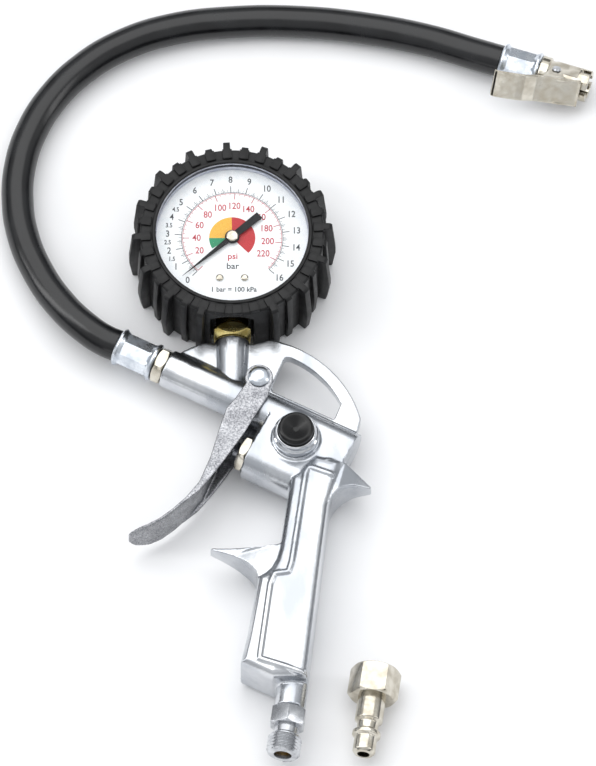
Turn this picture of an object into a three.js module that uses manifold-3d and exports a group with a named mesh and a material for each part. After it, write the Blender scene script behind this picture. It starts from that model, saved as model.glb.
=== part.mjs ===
// Tyre inflator with gauge, lying on its side. Millimetres, +Z up, resting on Z = 0.
// The gun is drawn about the point where the barrel axis meets the gauge stem axis,
// then the whole object is moved so that its origin is under the middle of its box.
import * as THREE from "three";
import { mergeVertices } from "three/addons/utils/BufferGeometryUtils.js";
import Module from "manifold-3d";

const wasm = await Module();
wasm.setup();

const degrees = THREE.MathUtils.degToRad;

// General
const GAP = 0.3; // clearance between pieces that touch
const GRIP_HALF = 11.5;
const MID_Z = GRIP_HALF; // height of the gun's middle plane, as the grip lies on the floor
const ORIGIN = [9.1, -25.6]; // middle of the box without the hose and chuck, in the drawing

// Casting
const BARREL_TILT = -26.8;
const BARREL_R = 7.5;
const BARREL_FRONT = -27.8;
const BARREL_BORE_R = 5.2;
const BARREL_BORE_LENGTH = 14;
const AIR_R = 2.6;
const HOUSING_R = 9.2;
const HOUSING_FRONT = 17.5;
const HOUSING_REAR = 52;
const VALVE_DROP = 19; // barrel axis to valve axis
const VALVE_BORE_R = 5.5;
const VALVE_BORE_END = 48;
const GRIP_ROUND = 3.6;
const GRIP_NECK = 0.84; // thickness of the grip's top as a share of the whole
const CROSS_BORE = HOUSING_FRONT + 9;
const WEB_HALF = 2.3;
const WEB_CENTRE = [4.4, -21.25];
const WEB_R = 46.4;
const WINDOW_R = 41.5;
const STEM_R = 6.6;
const STEM_ROOT_R = 5.8;
const STEM_TOP = 23.8;
const STEM_BORE_R = 5;
const STEM_BORE_LENGTH = 12;
const NECK_R = 6;
const NECK_END = 13; // along the inlet axis
const NECK_BORE_R = 4.9;

// Inlet
const INLET_TOP = [23.77, -119.4];
const INLET_TILT = -7.7; // lean of the inlet axis from -Y
const INLET_FLATS = 12.7;
const INLET_HEX = 7.4;
const INLET_WAIST_R = 4.75;
const INLET_WAIST = 3.2;
const INLET_THREAD_R = 6.58; // quarter inch pipe thread
const INLET_THREAD = 8.6;
const INLET_BORE_R = 3.4;
const INLET_SHANK = 9;

// Trigger lever
const PIVOT = [7.2, 8.75]; // in the barrel frame
const PIVOT_BOSS_R = 4.8;
const PIVOT_R = 2.3;
const CHEEK_IN = BARREL_R + 0.5; // middle plane to the cheek's inner face
const SHEET = 1.1;
const RIVET_HEAD_R = 4.2;
const RIVET_HEAD = 2;
const CHEEK_EYE_R = 5.4;
const ADJUSTER_R = 2.4;
const ADJUSTER_TIP = 10.4;
const ADJUSTER_HEAD = 4.4;

// Valve
const VALVE_STEM_R = VALVE_BORE_R - 2.4;
const NUT_FLATS = 13;
const NUT_THICK = 3.6;
const NUT_SHANK = 6.5;
const SEAT_LENGTH = 6;
const POPPET_R = VALVE_BORE_R - 0.9;
const POPPET = 2.6;
const SPRING_WIRE = 0.9;

// Deflate button
const BUTTON_AT = [31.6, -8.2]; // in the barrel frame
const BUTTON_BOSS_TOP = 9.7; // above the middle plane
const BUTTON_BORE_R = 5;
const BUTTON_BORE_DEPTH = 11;
const CAP_R = 6.85;
const COLLAR_RIM_R = CAP_R + 1.05;
const COLLAR_R = CAP_R + 2;
const COLLAR_FLANGE = 4;
const COLLAR = 6;
const BUTTON_BOSS_R = COLLAR_R + 0.45;
const CAP_TOP = 19;
const BUTTON_TRAVEL = 2;

// Hose
const HOSE_R = 6.25;
const FERRULE_R = HOSE_R + 0.35;
const FERRULE_FLANGE_R = HOSE_R + 1.15;
const FERRULE = 16.2;
const ADAPTER_FLATS = 13;
const ADAPTER_HEX = 4.2;
const BARB_R = 3.2;
const HOSE_REST = HOSE_R + 0.15; // height of the hose's middle where it lies on the floor
// Points on the hose's middle: x, y, and the share of the way up from the floor to the barrel.
const HOSE_POINTS = [
  [-48.3, 24.2, 0.98],
  [-55.6, 29.6, 0.88],
  [-66.6, 41.9, 0.55],
  [-75.1, 56.45, 0.235],
  [-80.8, 72.15, 0.06],
  [-82.9, 87.25, 0],
  [-82, 101.95, 0],
  [-77.8, 116.55, 0],
  [-69.8, 131.05, 0],
  [-57.4, 144.45, 0],
  [-42.5, 154.35, 0],
  [-23.6, 161.15, 0],
  [-0.9, 164.35, 0],
  [25.9, 164.55, 0],
  [52.7, 161.35, 0.02],
  [75.5, 156.25, 0.08],
];

// Chuck
const CHUCK_AT = [104.1, 146.6, FERRULE_FLANGE_R + 0.2];
const CHUCK_TILT = -18;
const CHUCK_FERRULE = 15.2;
const CHUCK_R = 6.3;
const CHUCK_END = 35.4;
const CHUCK_BORE_R = 4.4;
const CHUCK_BORE = 11.5;
const CHUCK_FLATS = 9.4;
const CLIP_TURN = 56; // turn of the clip round the chuck axis
const CLIP_HALF = 5.8;
const CLIP_SHEET = 0.8;
const CLIP_PIN_AT = [22.3, 4.2];
const CLIP_PIN_R = 1;

// Gauge
const CASE_R = 31.2;
const CASE_WALL = 0.9;
const CASE_BACK = 2.1;
const CASE_FRONT = 28.3;
const DIAL_R = CASE_R - CASE_WALL - 0.4;
const DIAL_TOP = CASE_FRONT - 2.6;
const DIAL_THICK = 0.5;
const LENS = 1.3;
const BEZEL = 0.6;
const BEZEL_R = CASE_R - 2;
const BOOT_R = CASE_R + 4.3;
const BOOT_LIP = 0.9;
const BOOT_LIP_R = BEZEL_R + 0.2;
const BOOT_SKIRT_R = CASE_R - 7.2; // opening in the boot's back
const TREADS = 32;
const FIRST_TREAD = 93.4; // degrees from +X
const TREAD_HALF = 2.15; // degrees
const TALL_TREAD_R = BOOT_R + 4.3;
const SHORT_TREAD_R = BOOT_R + 1.9;
const FLUSH_TREADS = [15, 16, 17]; // over the socket the treads don't stand out
const NOTCH_HALF = 8.4;
const NOTCH_TOP = 29.3;
const NOTCH_DROP = 4.5; // fall of the arch to its sides
const GAUGE_Y = STEM_TOP + BOOT_R + 2.15;
const SOCKET_SQUARE = 14.2;
const SOCKET_SQUARE_LONG = 5.5;
const SOCKET_THREAD_R = 4.7;
const SOCKET_NECK_R = 5.2;
const SOCKET_COLLAR_R = 5.9;
const SOCKET_COLLAR = 2.2;
const SOCKET_BLOCK_HALF = 6.4;
const SLOT_TOP = 8.1; // top of the case's slot above the middle plane
const POST_X = 4.8;
const POST_Y = -17.1;
const PINION_R = 1.5;
const SECTOR_R = 11.25;
const BOURDON_R = CASE_R - 6;
const BOURDON_HALF = 4;
const NEEDLE_ANGLE = 221.3; // rest, at zero, from +X
const NEEDLE = BEZEL_R - 3.7;

// Loose quick-connect plug
const PLUG_AT = [55.3, -114.2];
const PLUG_TILT = -8.1;
const PLUG_FLATS = 17;
const PLUG_HEX = 12.4;
const PLUG_BORE_R = 5.75;
const PLUG_BORE = 10.4;
const PLUG_SHANK_R = 5.4;
const PLUG_SHANK_END = 22;
const PLUG_GROOVE_R = 4.15;
const PLUG_COLLAR_FROM = 26.8;
const PLUG_COLLAR_R = 5.5;
const PLUG_NOSE_R = 4.4;
const PLUG_END = 36;
const PLUG_AIR_R = 2.4;

const finish = (color, roughness, metalness) =>
  new THREE.MeshStandardMaterial({ color, roughness, metalness });
const ALUMINIUM = finish(0xd6d8da, 0.3, 1);
const ZINC = finish(0xd9dde2, 0.35, 1);
const NICKEL = finish(0xbfb9ab, 0.25, 1);
const CHROME = finish(0xc8cacd, 0.1, 1);
const STEEL = finish(0xa9abae, 0.35, 1);
const BRASS = finish(0xb49a4e, 0.3, 1);
const RUBBER = finish(0x2a2b2c, 0.7, 0);
const BLACK = finish(0x151517, 0.3, 0);
const WHITE = finish(0xf0f4f5, 0.5, 0);
const CLEAR = finish(0xeef3f6, 0.05, 0);

// A closed geometry as a solid that can be joined and cut.
function solidOf(geometry) {
  const bare = geometry.clone();
  bare.deleteAttribute("normal");
  bare.deleteAttribute("uv");
  const merged = mergeVertices(bare, 1e-4);
  return new wasm.Manifold(
    new wasm.Mesh({
      numProp: 3,
      vertProperties: merged.attributes.position.array,
      triVerts: new Uint32Array(merged.index.array),
    }),
  );
}

function geometryOf(solid) {
  const mesh = solid.getMesh();
  const geometry = new THREE.BufferGeometry();
  geometry.setAttribute("position", new THREE.BufferAttribute(mesh.vertProperties, 3));
  geometry.setIndex(new THREE.BufferAttribute(mesh.triVerts, 1));
  return geometry;
}

// Adds one named piece to a frame; shape is a geometry or a solid.
function piece(frame, name, material, shape) {
  const geometry = shape.isBufferGeometry ? shape : geometryOf(shape);
  const mesh = new THREE.Mesh(geometry, material);
  mesh.name = name;
  frame.add(mesh);
}

const join = (shapes) => shapes.map(solidOf).reduce((all, next) => all.add(next));
const cut = (solid, shapes) => shapes.reduce((rest, shape) => rest.subtract(solidOf(shape)), solid);

// A turned shape: profile points are [along, radius], and the axis is x, y or z.
function turned(axis, profile, sides = 24) {
  const points = profile.map(([along, radius]) => new THREE.Vector2(radius, along));
  const geometry = new THREE.LatheGeometry(points, sides);
  if (axis === "x") geometry.rotateZ(-Math.PI / 2);
  if (axis === "z") geometry.rotateX(Math.PI / 2);
  return geometry;
}

function rod(axis, from, to, radius, sides) {
  return turned(axis, [[from, 0], [from, radius], [to, radius], [to, 0]], sides);
}

function ring(axis, from, to, outer, inner, sides) {
  return turned(axis, [[from, inner], [from, outer], [to, outer], [to, inner], [from, inner]], sides);
}

// A hexagonal bar with a flat, or with turn a corner, on its second side.
function hexBar(axis, from, to, flats, turn = 0) {
  const geometry = new THREE.CylinderGeometry(flats / Math.sqrt(3), flats / Math.sqrt(3), to - from, 6);
  geometry.rotateY(degrees(turn));
  geometry.translate(0, (from + to) / 2, 0);
  if (axis === "x") geometry.rotateZ(-Math.PI / 2);
  if (axis === "z") geometry.rotateX(Math.PI / 2);
  return geometry;
}

// A flat outline pulled up from one height to another.
function slab(shape, from, to, curveSegments = 12) {
  const geometry = new THREE.ExtrudeGeometry(shape, {
    depth: to - from,
    bevelEnabled: false,
    curveSegments,
  });
  return geometry.translate(0, 0, from);
}

const outline = (points) => new THREE.Shape(points.map(([x, y]) => new THREE.Vector2(x, y)));

function box(x0, x1, y0, y1, z0, z1) {
  const geometry = new THREE.BoxGeometry(x1 - x0, y1 - y0, z1 - z0);
  return geometry.translate((x0 + x1) / 2, (y0 + y1) / 2, (z0 + z1) / 2);
}

// A wire or tube along a list of points, with an even-sided section and flat ends.
function wire(points, radius, sides, steps) {
  const section = new THREE.Shape();
  for (let i = 0; i < sides; i++) {
    const angle = (2 * Math.PI * i) / sides;
    const method = i ? "lineTo" : "moveTo";
    section[method](radius * Math.cos(angle), radius * Math.sin(angle));
  }
  const path = new THREE.CatmullRomCurve3(points.map((p) => new THREE.Vector3(...p)));
  return new THREE.ExtrudeGeometry(section, { steps, bevelEnabled: false, extrudePath: path });
}

// A coil spring along an axis at height 0, standing from one end to the other.
function coil(axis, from, to, radius, turns) {
  const perTurn = 10;
  const points = [];
  for (let i = 0; i <= turns * perTurn; i++) {
    const angle = (2 * Math.PI * i) / perTurn;
    const along = from + ((to - from) * i) / (turns * perTurn);
    const [a, b] = [radius * Math.cos(angle), radius * Math.sin(angle)];
    points.push(axis === "x" ? [along, a, b] : [a, b, along]);
  }
  return wire(points, SPRING_WIRE / 2, 5, turns * perTurn);
}

const object = new THREE.Group();
const drawing = new THREE.Group();
drawing.position.set(-ORIGIN[0], -ORIGIN[1], 0);
object.add(drawing);
const gun = new THREE.Group();
gun.position.z = MID_Z;
drawing.add(gun);

// A frame inside another; its x axis is turned by a number of degrees about Z.
function frameIn(parent, [x, y, z = 0], turn) {
  const frame = new THREE.Group();
  frame.position.set(x, y, z);
  frame.rotation.z = degrees(turn);
  frame.updateMatrix();
  parent.add(frame);
  return frame;
}

const barrel = frameIn(gun, [0, 0], BARREL_TILT);
const inlet = frameIn(gun, INLET_TOP, -90 + INLET_TILT);
const gauge = frameIn(drawing, [0, GAUGE_Y], 0);
const chuck = frameIn(drawing, CHUCK_AT, CHUCK_TILT);
const clip = new THREE.Group();
clip.rotation.x = degrees(CLIP_TURN);
chuck.add(clip);
const plug = frameIn(drawing, [...PLUG_AT, PLUG_FLATS / 2], -90 + PLUG_TILT);

const inBarrel = (geometry) => geometry.applyMatrix4(barrel.matrix);
const inInlet = (geometry) => geometry.applyMatrix4(inlet.matrix);

function barrelPoint(along, up) {
  const angle = degrees(BARREL_TILT);
  return [
    along * Math.cos(angle) - up * Math.sin(angle),
    along * Math.sin(angle) + up * Math.cos(angle),
  ];
}

// Casting: barrel and valve housing, joined by flat flanks.
function housing() {
  const lean = Math.acos((BARREL_R - HOUSING_R) / VALVE_DROP);
  const section = new THREE.Shape();
  section.absarc(0, 0, BARREL_R, -lean, lean, false);
  section.absarc(-VALVE_DROP, 0, HOUSING_R, lean, 2 * Math.PI - lean, false);
  const geometry = slab(section, HOUSING_FRONT, HOUSING_REAR, 14);
  const turn = new THREE.Matrix4().makeBasis(
    new THREE.Vector3(0, 1, 0),
    new THREE.Vector3(0, 0, 1),
    new THREE.Vector3(1, 0, 0),
  );
  return inBarrel(geometry.applyMatrix4(turn));
}

// Scales the thickness of a geometry, from one share to another between two places along x or y.
function tapered(geometry, axis, [from, to], [fromShare, toShare]) {
  const place = geometry.getAttribute("position");
  for (let i = 0; i < place.count; i++) {
    const along = axis === "x" ? place.getX(i) : place.getY(i);
    const way = THREE.MathUtils.clamp((along - from) / (to - from), 0, 1);
    place.setZ(i, place.getZ(i) * THREE.MathUtils.lerp(fromShare, toShare, way));
  }
  return geometry;
}

// Casting: the grip without its spurs, with rounded edges, thinner towards the housing.
function grip() {
  const shape = new THREE.Shape();
  shape.moveTo(22.6, -38);
  shape.lineTo(18.1, -69);
  shape.quadraticCurveTo(16.4, -78.5, 10.2, -80.5);
  shape.lineTo(5.8, -105.75);
  shape.lineTo(3.3, -117.05);
  shape.lineTo(15.5, -123.2);
  shape.lineTo(28.9, -122.9);
  shape.lineTo(33.4, -83);
  shape.lineTo(37.2, -50);
  shape.lineTo(42.4, -31);
  shape.lineTo(32, -28);
  const geometry = new THREE.ExtrudeGeometry(shape, {
    depth: 2 * (GRIP_HALF - GRIP_ROUND),
    bevelThickness: GRIP_ROUND,
    bevelSize: GRIP_ROUND,
    bevelOffset: -GRIP_ROUND,
    bevelSegments: 3,
    curveSegments: 4,
  });
  geometry.translate(0, 0, GRIP_ROUND - GRIP_HALF);
  return tapered(geometry, "y", [-30, -64], [GRIP_NECK, 1]);
}

// A spur: a flat outline whose thickness falls from its root to its tip.
const spur = (shape, root, tip, halves) => tapered(slab(shape, -1, 1, 6), "x", [root, tip], halves);

function frontSpur() {
  const shape = new THREE.Shape();
  shape.moveTo(19, -66.3);
  shape.lineTo(8, -67.2);
  shape.quadraticCurveTo(-1, -66.8, -7.6, -65.2);
  shape.lineTo(-8.4, -66.1);
  shape.quadraticCurveTo(6.5, -71.6, 9.3, -77.6);
  shape.lineTo(10.4, -84);
  shape.lineTo(19, -84);
  return spur(shape, 12, -8, [9.5, 2.6]);
}

function rearSpur() {
  const shape = new THREE.Shape();
  shape.moveTo(36, -30);
  shape.lineTo(43.4, -31.2);
  shape.lineTo(53.3, -39.2);
  shape.lineTo(53.5, -40.3);
  shape.quadraticCurveTo(40.4, -38.5, 37.3, -48.5);
  shape.lineTo(33, -52);
  return spur(shape, 40, 53.5, [9.3, 2.4]);
}

// Casting: the thin web behind the gauge stem, with its window.
function web() {
  const [cx, cy] = WEB_CENTRE;
  const shape = new THREE.Shape();
  shape.absarc(cx, cy, WEB_R, degrees(14), degrees(121), false);
  shape.lineTo(...barrelPoint(-24, 2));
  shape.lineTo(...barrelPoint(HOUSING_REAR - 0.6, 2));
  const gap = new THREE.Path();
  gap.absarc(cx, cy, WINDOW_R, degrees(25.5), degrees(64), false);
  gap.lineTo(20.2, 16.1);
  gap.lineTo(15.9, 6);
  gap.lineTo(...barrelPoint(12.9, BARREL_R + 1));
  gap.lineTo(...barrelPoint(39.6, BARREL_R + 1));
  shape.holes.push(gap);
  const bootRoom = rod("z", -WEB_HALF - 1, WEB_HALF + 1, TALL_TREAD_R + 0.2, 64);
  return cut(solidOf(slab(shape, -WEB_HALF, WEB_HALF, 20)), [bootRoom.translate(0, GAUGE_Y, 0)]);
}

const [pivotX, pivotY] = barrelPoint(...PIVOT);
const [buttonX, buttonY] = barrelPoint(...BUTTON_AT);

function castingHoles() {
  const valveBore = rod("x", HOUSING_FRONT - 1, VALVE_BORE_END, VALVE_BORE_R, 24);
  const crossBore = rod("y", -VALVE_DROP, 0, AIR_R, 12).translate(CROSS_BORE, 0, 0);
  const hoseBore = rod("x", BARREL_FRONT - 1, BARREL_FRONT + BARREL_BORE_LENGTH, BARREL_BORE_R, 24);
  const stemDrop = STEM_TOP - STEM_BORE_LENGTH;
  return [
    inBarrel(valveBore.translate(0, -VALVE_DROP, 0)),
    inBarrel(crossBore),
    inBarrel(hoseBore),
    inBarrel(rod("x", BARREL_FRONT, BUTTON_AT[0] + 3, AIR_R, 12)),
    inBarrel(rod("y", BUTTON_AT[1], 0, AIR_R - 1, 12).translate(BUTTON_AT[0], 0, 0)),
    rod("y", stemDrop, STEM_TOP + 1, STEM_BORE_R, 24),
    rod("y", 0, STEM_TOP, AIR_R, 12),
    rod("z", -20, 20, PIVOT_R + GAP, 20).translate(pivotX, pivotY, 0),
    rod("z", BUTTON_BOSS_TOP - BUTTON_BORE_DEPTH, 20, BUTTON_BORE_R, 24).translate(buttonX, buttonY, 0),
    inInlet(rod("x", NECK_END - INLET_SHANK - 1, NECK_END + 1, NECK_BORE_R, 24)),
    inInlet(rod("x", -81, NECK_END, AIR_R, 12)),
  ];
}

const bossHalf = CHEEK_IN - GAP - 0.1;
const casting = join([
  inBarrel(rod("x", BARREL_FRONT, HOUSING_REAR - 0.4, BARREL_R, 36)),
  housing(),
  grip(),
  frontSpur(),
  rearSpur(),
  turned("y", [[0, 0], [0, STEM_ROOT_R], [STEM_TOP, STEM_R], [STEM_TOP, 0]], 32),
  rod("z", -bossHalf, bossHalf, PIVOT_BOSS_R, 24).translate(pivotX, pivotY, 0),
  rod("z", 2, BUTTON_BOSS_TOP, BUTTON_BOSS_R, 36).translate(buttonX, buttonY, 0),
  inInlet(rod("x", -3, NECK_END, NECK_R, 28)),
]).add(web());
piece(gun, "body_casting", ALUMINIUM, cut(casting, castingHoles()));

// Inlet: hexagon, waist and male pipe thread, bored through, screwed into the neck.
const inletHex = NECK_END + GAP;
const inletWaist = inletHex + INLET_HEX;
const inletThread = inletWaist + INLET_WAIST;
const inletEnd = inletThread + INLET_THREAD;
const inletSolid = join([
  hexBar("x", inletHex, inletWaist, INLET_FLATS, 0),
  rod("x", inletHex - INLET_SHANK, inletHex + 1, NECK_BORE_R - GAP),
  rod("x", inletWaist - 1, inletThread + 1, INLET_WAIST_R),
  turned("x", [
    [inletThread, 0],
    [inletThread, INLET_WAIST_R],
    [inletThread + 0.9, INLET_THREAD_R],
    [inletEnd - 0.9, INLET_THREAD_R],
    [inletEnd, INLET_THREAD_R - 0.9],
    [inletEnd, 0],
  ], 28),
]);
const inletBore = rod("x", inletHex - INLET_SHANK - 1, inletEnd + 1, INLET_BORE_R, 20);
piece(inlet, "inlet_fitting", STEEL, cut(inletSolid, [inletBore]));
const filterEnd = inletEnd - 3;
piece(inlet, "inlet_filter", BRASS, turned("x", [
  [filterEnd - 9, 0],
  [filterEnd - 9, 2],
  [filterEnd, INLET_BORE_R - GAP],
  [filterEnd, INLET_BORE_R - 1],
  [filterEnd - 8, 0],
], 16));

// Trigger lever: a channel of sheet, two cheeks and a web that runs out as the finger plate.
const WEB_PATH = [
  [-2.1, -8.45], [-4.9, -17], [-8.2, -29], [-12.6, -40], [-17.5, -46.3],
  [-22.6, -51.3], [-27.5, -55.2], [-32.2, -57.6], [-37, -58.9], [-39.6, -59.2],
];
const CHEEK_RIGHT = [
  [-24.2, -53], [-17.8, -48.4], [-12.9, -44.2], [-8.5, -38.6], [-3.2, -31.2],
  [5, -18.9], [10, -9.8], [14, -3.2],
];

// The web's outline: its path, and the same path moved aside by the sheet.
function sheetOutline(path, thickness) {
  const inner = path.map(([x, y], i) => {
    const [ax, ay] = path[Math.max(i - 1, 0)];
    const [bx, by] = path[Math.min(i + 1, path.length - 1)];
    const run = Math.hypot(bx - ax, by - ay);
    return [x - ((by - ay) / run) * thickness, y + ((bx - ax) / run) * thickness];
  });
  return outline([...path, ...inner.reverse()]);
}

function triggerLever() {
  const half = CHEEK_IN + SHEET;
  const tip = new THREE.Shape();
  tip.moveTo(10, -half);
  tip.lineTo(-26, -half);
  tip.bezierCurveTo(-36, -half, -39.9, -half * 0.55, -39.9, 0);
  tip.bezierCurveTo(-39.9, half * 0.55, -36, half, -26, half);
  tip.lineTo(10, half);
  const planform = slab(tip, -70, 10, 6).rotateX(Math.PI / 2).translate(0, -60, 0);
  const plate = solidOf(slab(sheetOutline(WEB_PATH, SHEET), -half, half));
  const cheek = new THREE.Shape();
  cheek.absarc(pivotX, pivotY, CHEEK_EYE_R, degrees(-35), degrees(205), false);
  cheek.lineTo(1.3, -4.2);
  WEB_PATH.slice(0, 6).forEach(([x, y]) => cheek.lineTo(x, y));
  CHEEK_RIGHT.forEach(([x, y]) => cheek.lineTo(x, y));
  const hole = rod("z", -20, 20, PIVOT_R + GAP, 20).translate(pivotX, pivotY, 0);
  const [screwX, screwY] = barrelPoint(0, -VALVE_DROP);
  const screwHole = rod("x", -12, 8, ADJUSTER_R + GAP, 16).rotateZ(degrees(BARREL_TILT));
  const blank = plate
    .intersect(solidOf(planform))
    .add(solidOf(slab(cheek, CHEEK_IN, half, 8)))
    .add(solidOf(slab(cheek, -half, -CHEEK_IN, 8)));
  return cut(blank, [hole, screwHole.translate(screwX, screwY, 0)]);
}
piece(gun, "trigger_lever", STEEL, triggerLever());

const rivetHead = CHEEK_IN + SHEET + GAP;
const rivet = turned("z", [
  [-rivetHead - RIVET_HEAD * 0.6, 0],
  [-rivetHead - RIVET_HEAD * 0.6, RIVET_HEAD_R * 0.7],
  [-rivetHead, RIVET_HEAD_R],
  [-rivetHead, PIVOT_R],
  [rivetHead, PIVOT_R],
  [rivetHead, RIVET_HEAD_R],
  [rivetHead + RIVET_HEAD * 0.45, RIVET_HEAD_R * 0.93],
  [rivetHead + RIVET_HEAD * 0.85, RIVET_HEAD_R * 0.55],
  [rivetHead + RIVET_HEAD, 0],
], 24);
piece(gun, "lever_rivet", ZINC, rivet.translate(pivotX, pivotY, 0));

// The valve line: everything on the axis that the lever pushes.
const valve = frameIn(barrel, [0, -VALVE_DROP], 0);
const plateFace = 5.9; // clear of the lever web, which leans a little to the valve axis
piece(valve, "adjusting_screw", STEEL, turned("x", [
  [ADJUSTER_HEAD, 0],
  [ADJUSTER_HEAD, ADJUSTER_R],
  [ADJUSTER_TIP - 1, ADJUSTER_R],
  [ADJUSTER_TIP - 0.3, ADJUSTER_R * 0.6],
  [ADJUSTER_TIP, 0],
], 16));
const lockNut = solidOf(hexBar("x", plateFace, plateFace + 2.2, 7.6));
piece(valve, "adjuster_lock_nut", STEEL, cut(lockNut, [rod("x", 0, 20, ADJUSTER_R + GAP, 16)]));

const nutFace = HOUSING_FRONT - GAP - NUT_THICK;
const nutEnd = HOUSING_FRONT + NUT_SHANK;
const nutSolid = join([
  hexBar("x", nutFace, HOUSING_FRONT - GAP, NUT_FLATS, 30),
  rod("x", HOUSING_FRONT - GAP - 1, nutEnd, VALVE_BORE_R - GAP),
]);
const stemBore = rod("x", nutFace - 1, nutEnd + 1, VALVE_STEM_R + GAP, 20);
const sealPocket = rod("x", nutEnd - 2.6, nutEnd + 1, VALVE_STEM_R + 1.6, 20);
piece(valve, "packing_nut", NICKEL, cut(nutSolid, [stemBore, sealPocket]));
const sealFrom = nutEnd - 2.6 + GAP;
const sealRing = ring("x", sealFrom, nutEnd, VALVE_STEM_R + 1.6 - GAP, VALVE_STEM_R + GAP, 20);
piece(valve, "stem_seal", RUBBER, sealRing);

const seatFrom = nutEnd + GAP;
const seatTo = seatFrom + SEAT_LENGTH;
const seatSleeve = ring("x", seatFrom, seatTo, VALVE_BORE_R - GAP, VALVE_STEM_R + 0.7, 20);
const seatPort = rod("y", 0, 8, AIR_R - 0.8, 12).translate(CROSS_BORE, 0, 0);
piece(valve, "valve_seat", BRASS, cut(solidOf(seatSleeve), [seatPort]));
const stemTip = ADJUSTER_TIP + GAP + 0.05;
const poppetFrom = seatTo + GAP;
piece(valve, "valve_stem", CHROME, turned("x", [
  [stemTip, 0],
  [stemTip, VALVE_STEM_R - 0.5],
  [stemTip + 0.5, VALVE_STEM_R],
  [nutEnd + 0.6, VALVE_STEM_R],
  [nutEnd + 1.2, 1.7],
  [poppetFrom - GAP, 1.7],
  [poppetFrom - GAP, 0],
], 20));
const poppetTo = poppetFrom + POPPET;
piece(valve, "valve_poppet", BRASS, turned("x", [
  [poppetFrom, 0],
  [poppetFrom, POPPET_R],
  [poppetTo, POPPET_R],
  [poppetTo, 1.8],
  [poppetTo + 2, 1.4],
  [poppetTo + 2, 0],
], 20));
const springFrom = poppetTo + GAP + SPRING_WIRE;
const springTo = VALVE_BORE_END - GAP - SPRING_WIRE;
piece(valve, "valve_spring", STEEL, coil("x", springFrom, springTo, POPPET_R - 0.9, 5));

// Deflate button: a collar screwed into the side boss, a cap, its pin, spring and seal.
const deflate = frameIn(gun, barrelPoint(...BUTTON_AT), BARREL_TILT);
const collarFrom = BUTTON_BOSS_TOP + GAP;
const collarTo = collarFrom + COLLAR;
const collarSolid = join([
  turned("z", [
    [collarFrom, 0],
    [collarFrom, COLLAR_R - 0.5],
    [collarFrom + 0.6, COLLAR_R],
    [collarFrom + COLLAR_FLANGE - 0.6, COLLAR_R],
    [collarFrom + COLLAR_FLANGE, COLLAR_RIM_R],
    [collarTo - 0.5, COLLAR_RIM_R],
    [collarTo, COLLAR_RIM_R - 0.5],
    [collarTo, 0],
  ], 36),
  rod("z", collarFrom - 5.5, collarFrom + 1, BUTTON_BORE_R - GAP, 24),
]);
const collarWell = rod("z", collarFrom + 1.2, collarTo + 1, CAP_R + GAP, 32);
const collarBore = rod("z", collarFrom - 7, collarFrom + 2, 2.4, 16);
piece(deflate, "deflate_collar", CHROME, cut(collarSolid, [collarWell, collarBore]));
const capFrom = collarFrom + 1.2 + GAP + BUTTON_TRAVEL;
piece(deflate, "deflate_button", BLACK, turned("z", [
  [capFrom, 0],
  [capFrom, CAP_R],
  [CAP_TOP - 0.8, CAP_R],
  [CAP_TOP, CAP_R - 0.9],
  [CAP_TOP, CAP_R - 2],
  [CAP_TOP - 0.7, 0],
], 32));
const pinFoot = BUTTON_BOSS_TOP - BUTTON_BORE_DEPTH + GAP + BUTTON_TRAVEL + 0.2;
piece(deflate, "deflate_pin", STEEL, turned("z", [
  [pinFoot, 0],
  [pinFoot, 3.6],
  [pinFoot + 1, 3.6],
  [pinFoot + 1, 1.1],
  [capFrom - GAP, 1.1],
  [capFrom - GAP, 0],
], 16));
piece(deflate, "deflate_seal", RUBBER, ring("z", pinFoot + 1 + GAP, pinFoot + 2.2, 3.6, 1.4, 16));
const returnFrom = collarFrom + 1.2 + GAP;
piece(deflate, "deflate_spring", STEEL, ring("z", returnFrom, returnFrom + 0.9, 5, 4, 20));

// Hose end at the gun: adapter with its hexagon and barb, and the crimped ferrule.
const adapterHexFrom = BARREL_FRONT - GAP - ADAPTER_HEX;
const ferruleTo = adapterHexFrom - GAP;
const ferruleFrom = ferruleTo - FERRULE;
const adapter = join([
  hexBar("x", adapterHexFrom, BARREL_FRONT - GAP, ADAPTER_FLATS, 30),
  rod("x", BARREL_FRONT - GAP - 1, BARREL_FRONT + BARREL_BORE_LENGTH - 2, BARREL_BORE_R - GAP),
  rod("x", ferruleFrom + 0.6, adapterHexFrom + 1, BARB_R),
]);
const adapterBore = rod("x", ferruleFrom - 1, BARREL_FRONT + BARREL_BORE_LENGTH, 1.9, 14);
piece(barrel, "hose_adapter", NICKEL, cut(adapter, [adapterBore]));

// A crimped sleeve with a flange at each end, between two places on its axis.
function ferrule(from, to) {
  const inner = BARB_R + GAP;
  return turned("x", [
    [from, inner],
    [from, FERRULE_FLANGE_R - 0.3],
    [from + 0.8, FERRULE_FLANGE_R],
    [from + 2, FERRULE_R],
    [to - 2.2, FERRULE_R],
    [to - 1.2, FERRULE_FLANGE_R],
    [to, FERRULE_FLANGE_R - 0.3],
    [to, inner],
    [from, inner],
  ], 24);
}
piece(barrel, "hose_ferrule", ZINC, ferrule(ferruleFrom, ferruleTo));

// Hose: from the gun's ferrule to the chuck's, along points chosen by hand.
const hoseStart = [...barrelPoint(ferruleFrom - GAP, 0), MID_Z];
const chuckAxis = degrees(CHUCK_TILT);
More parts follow.
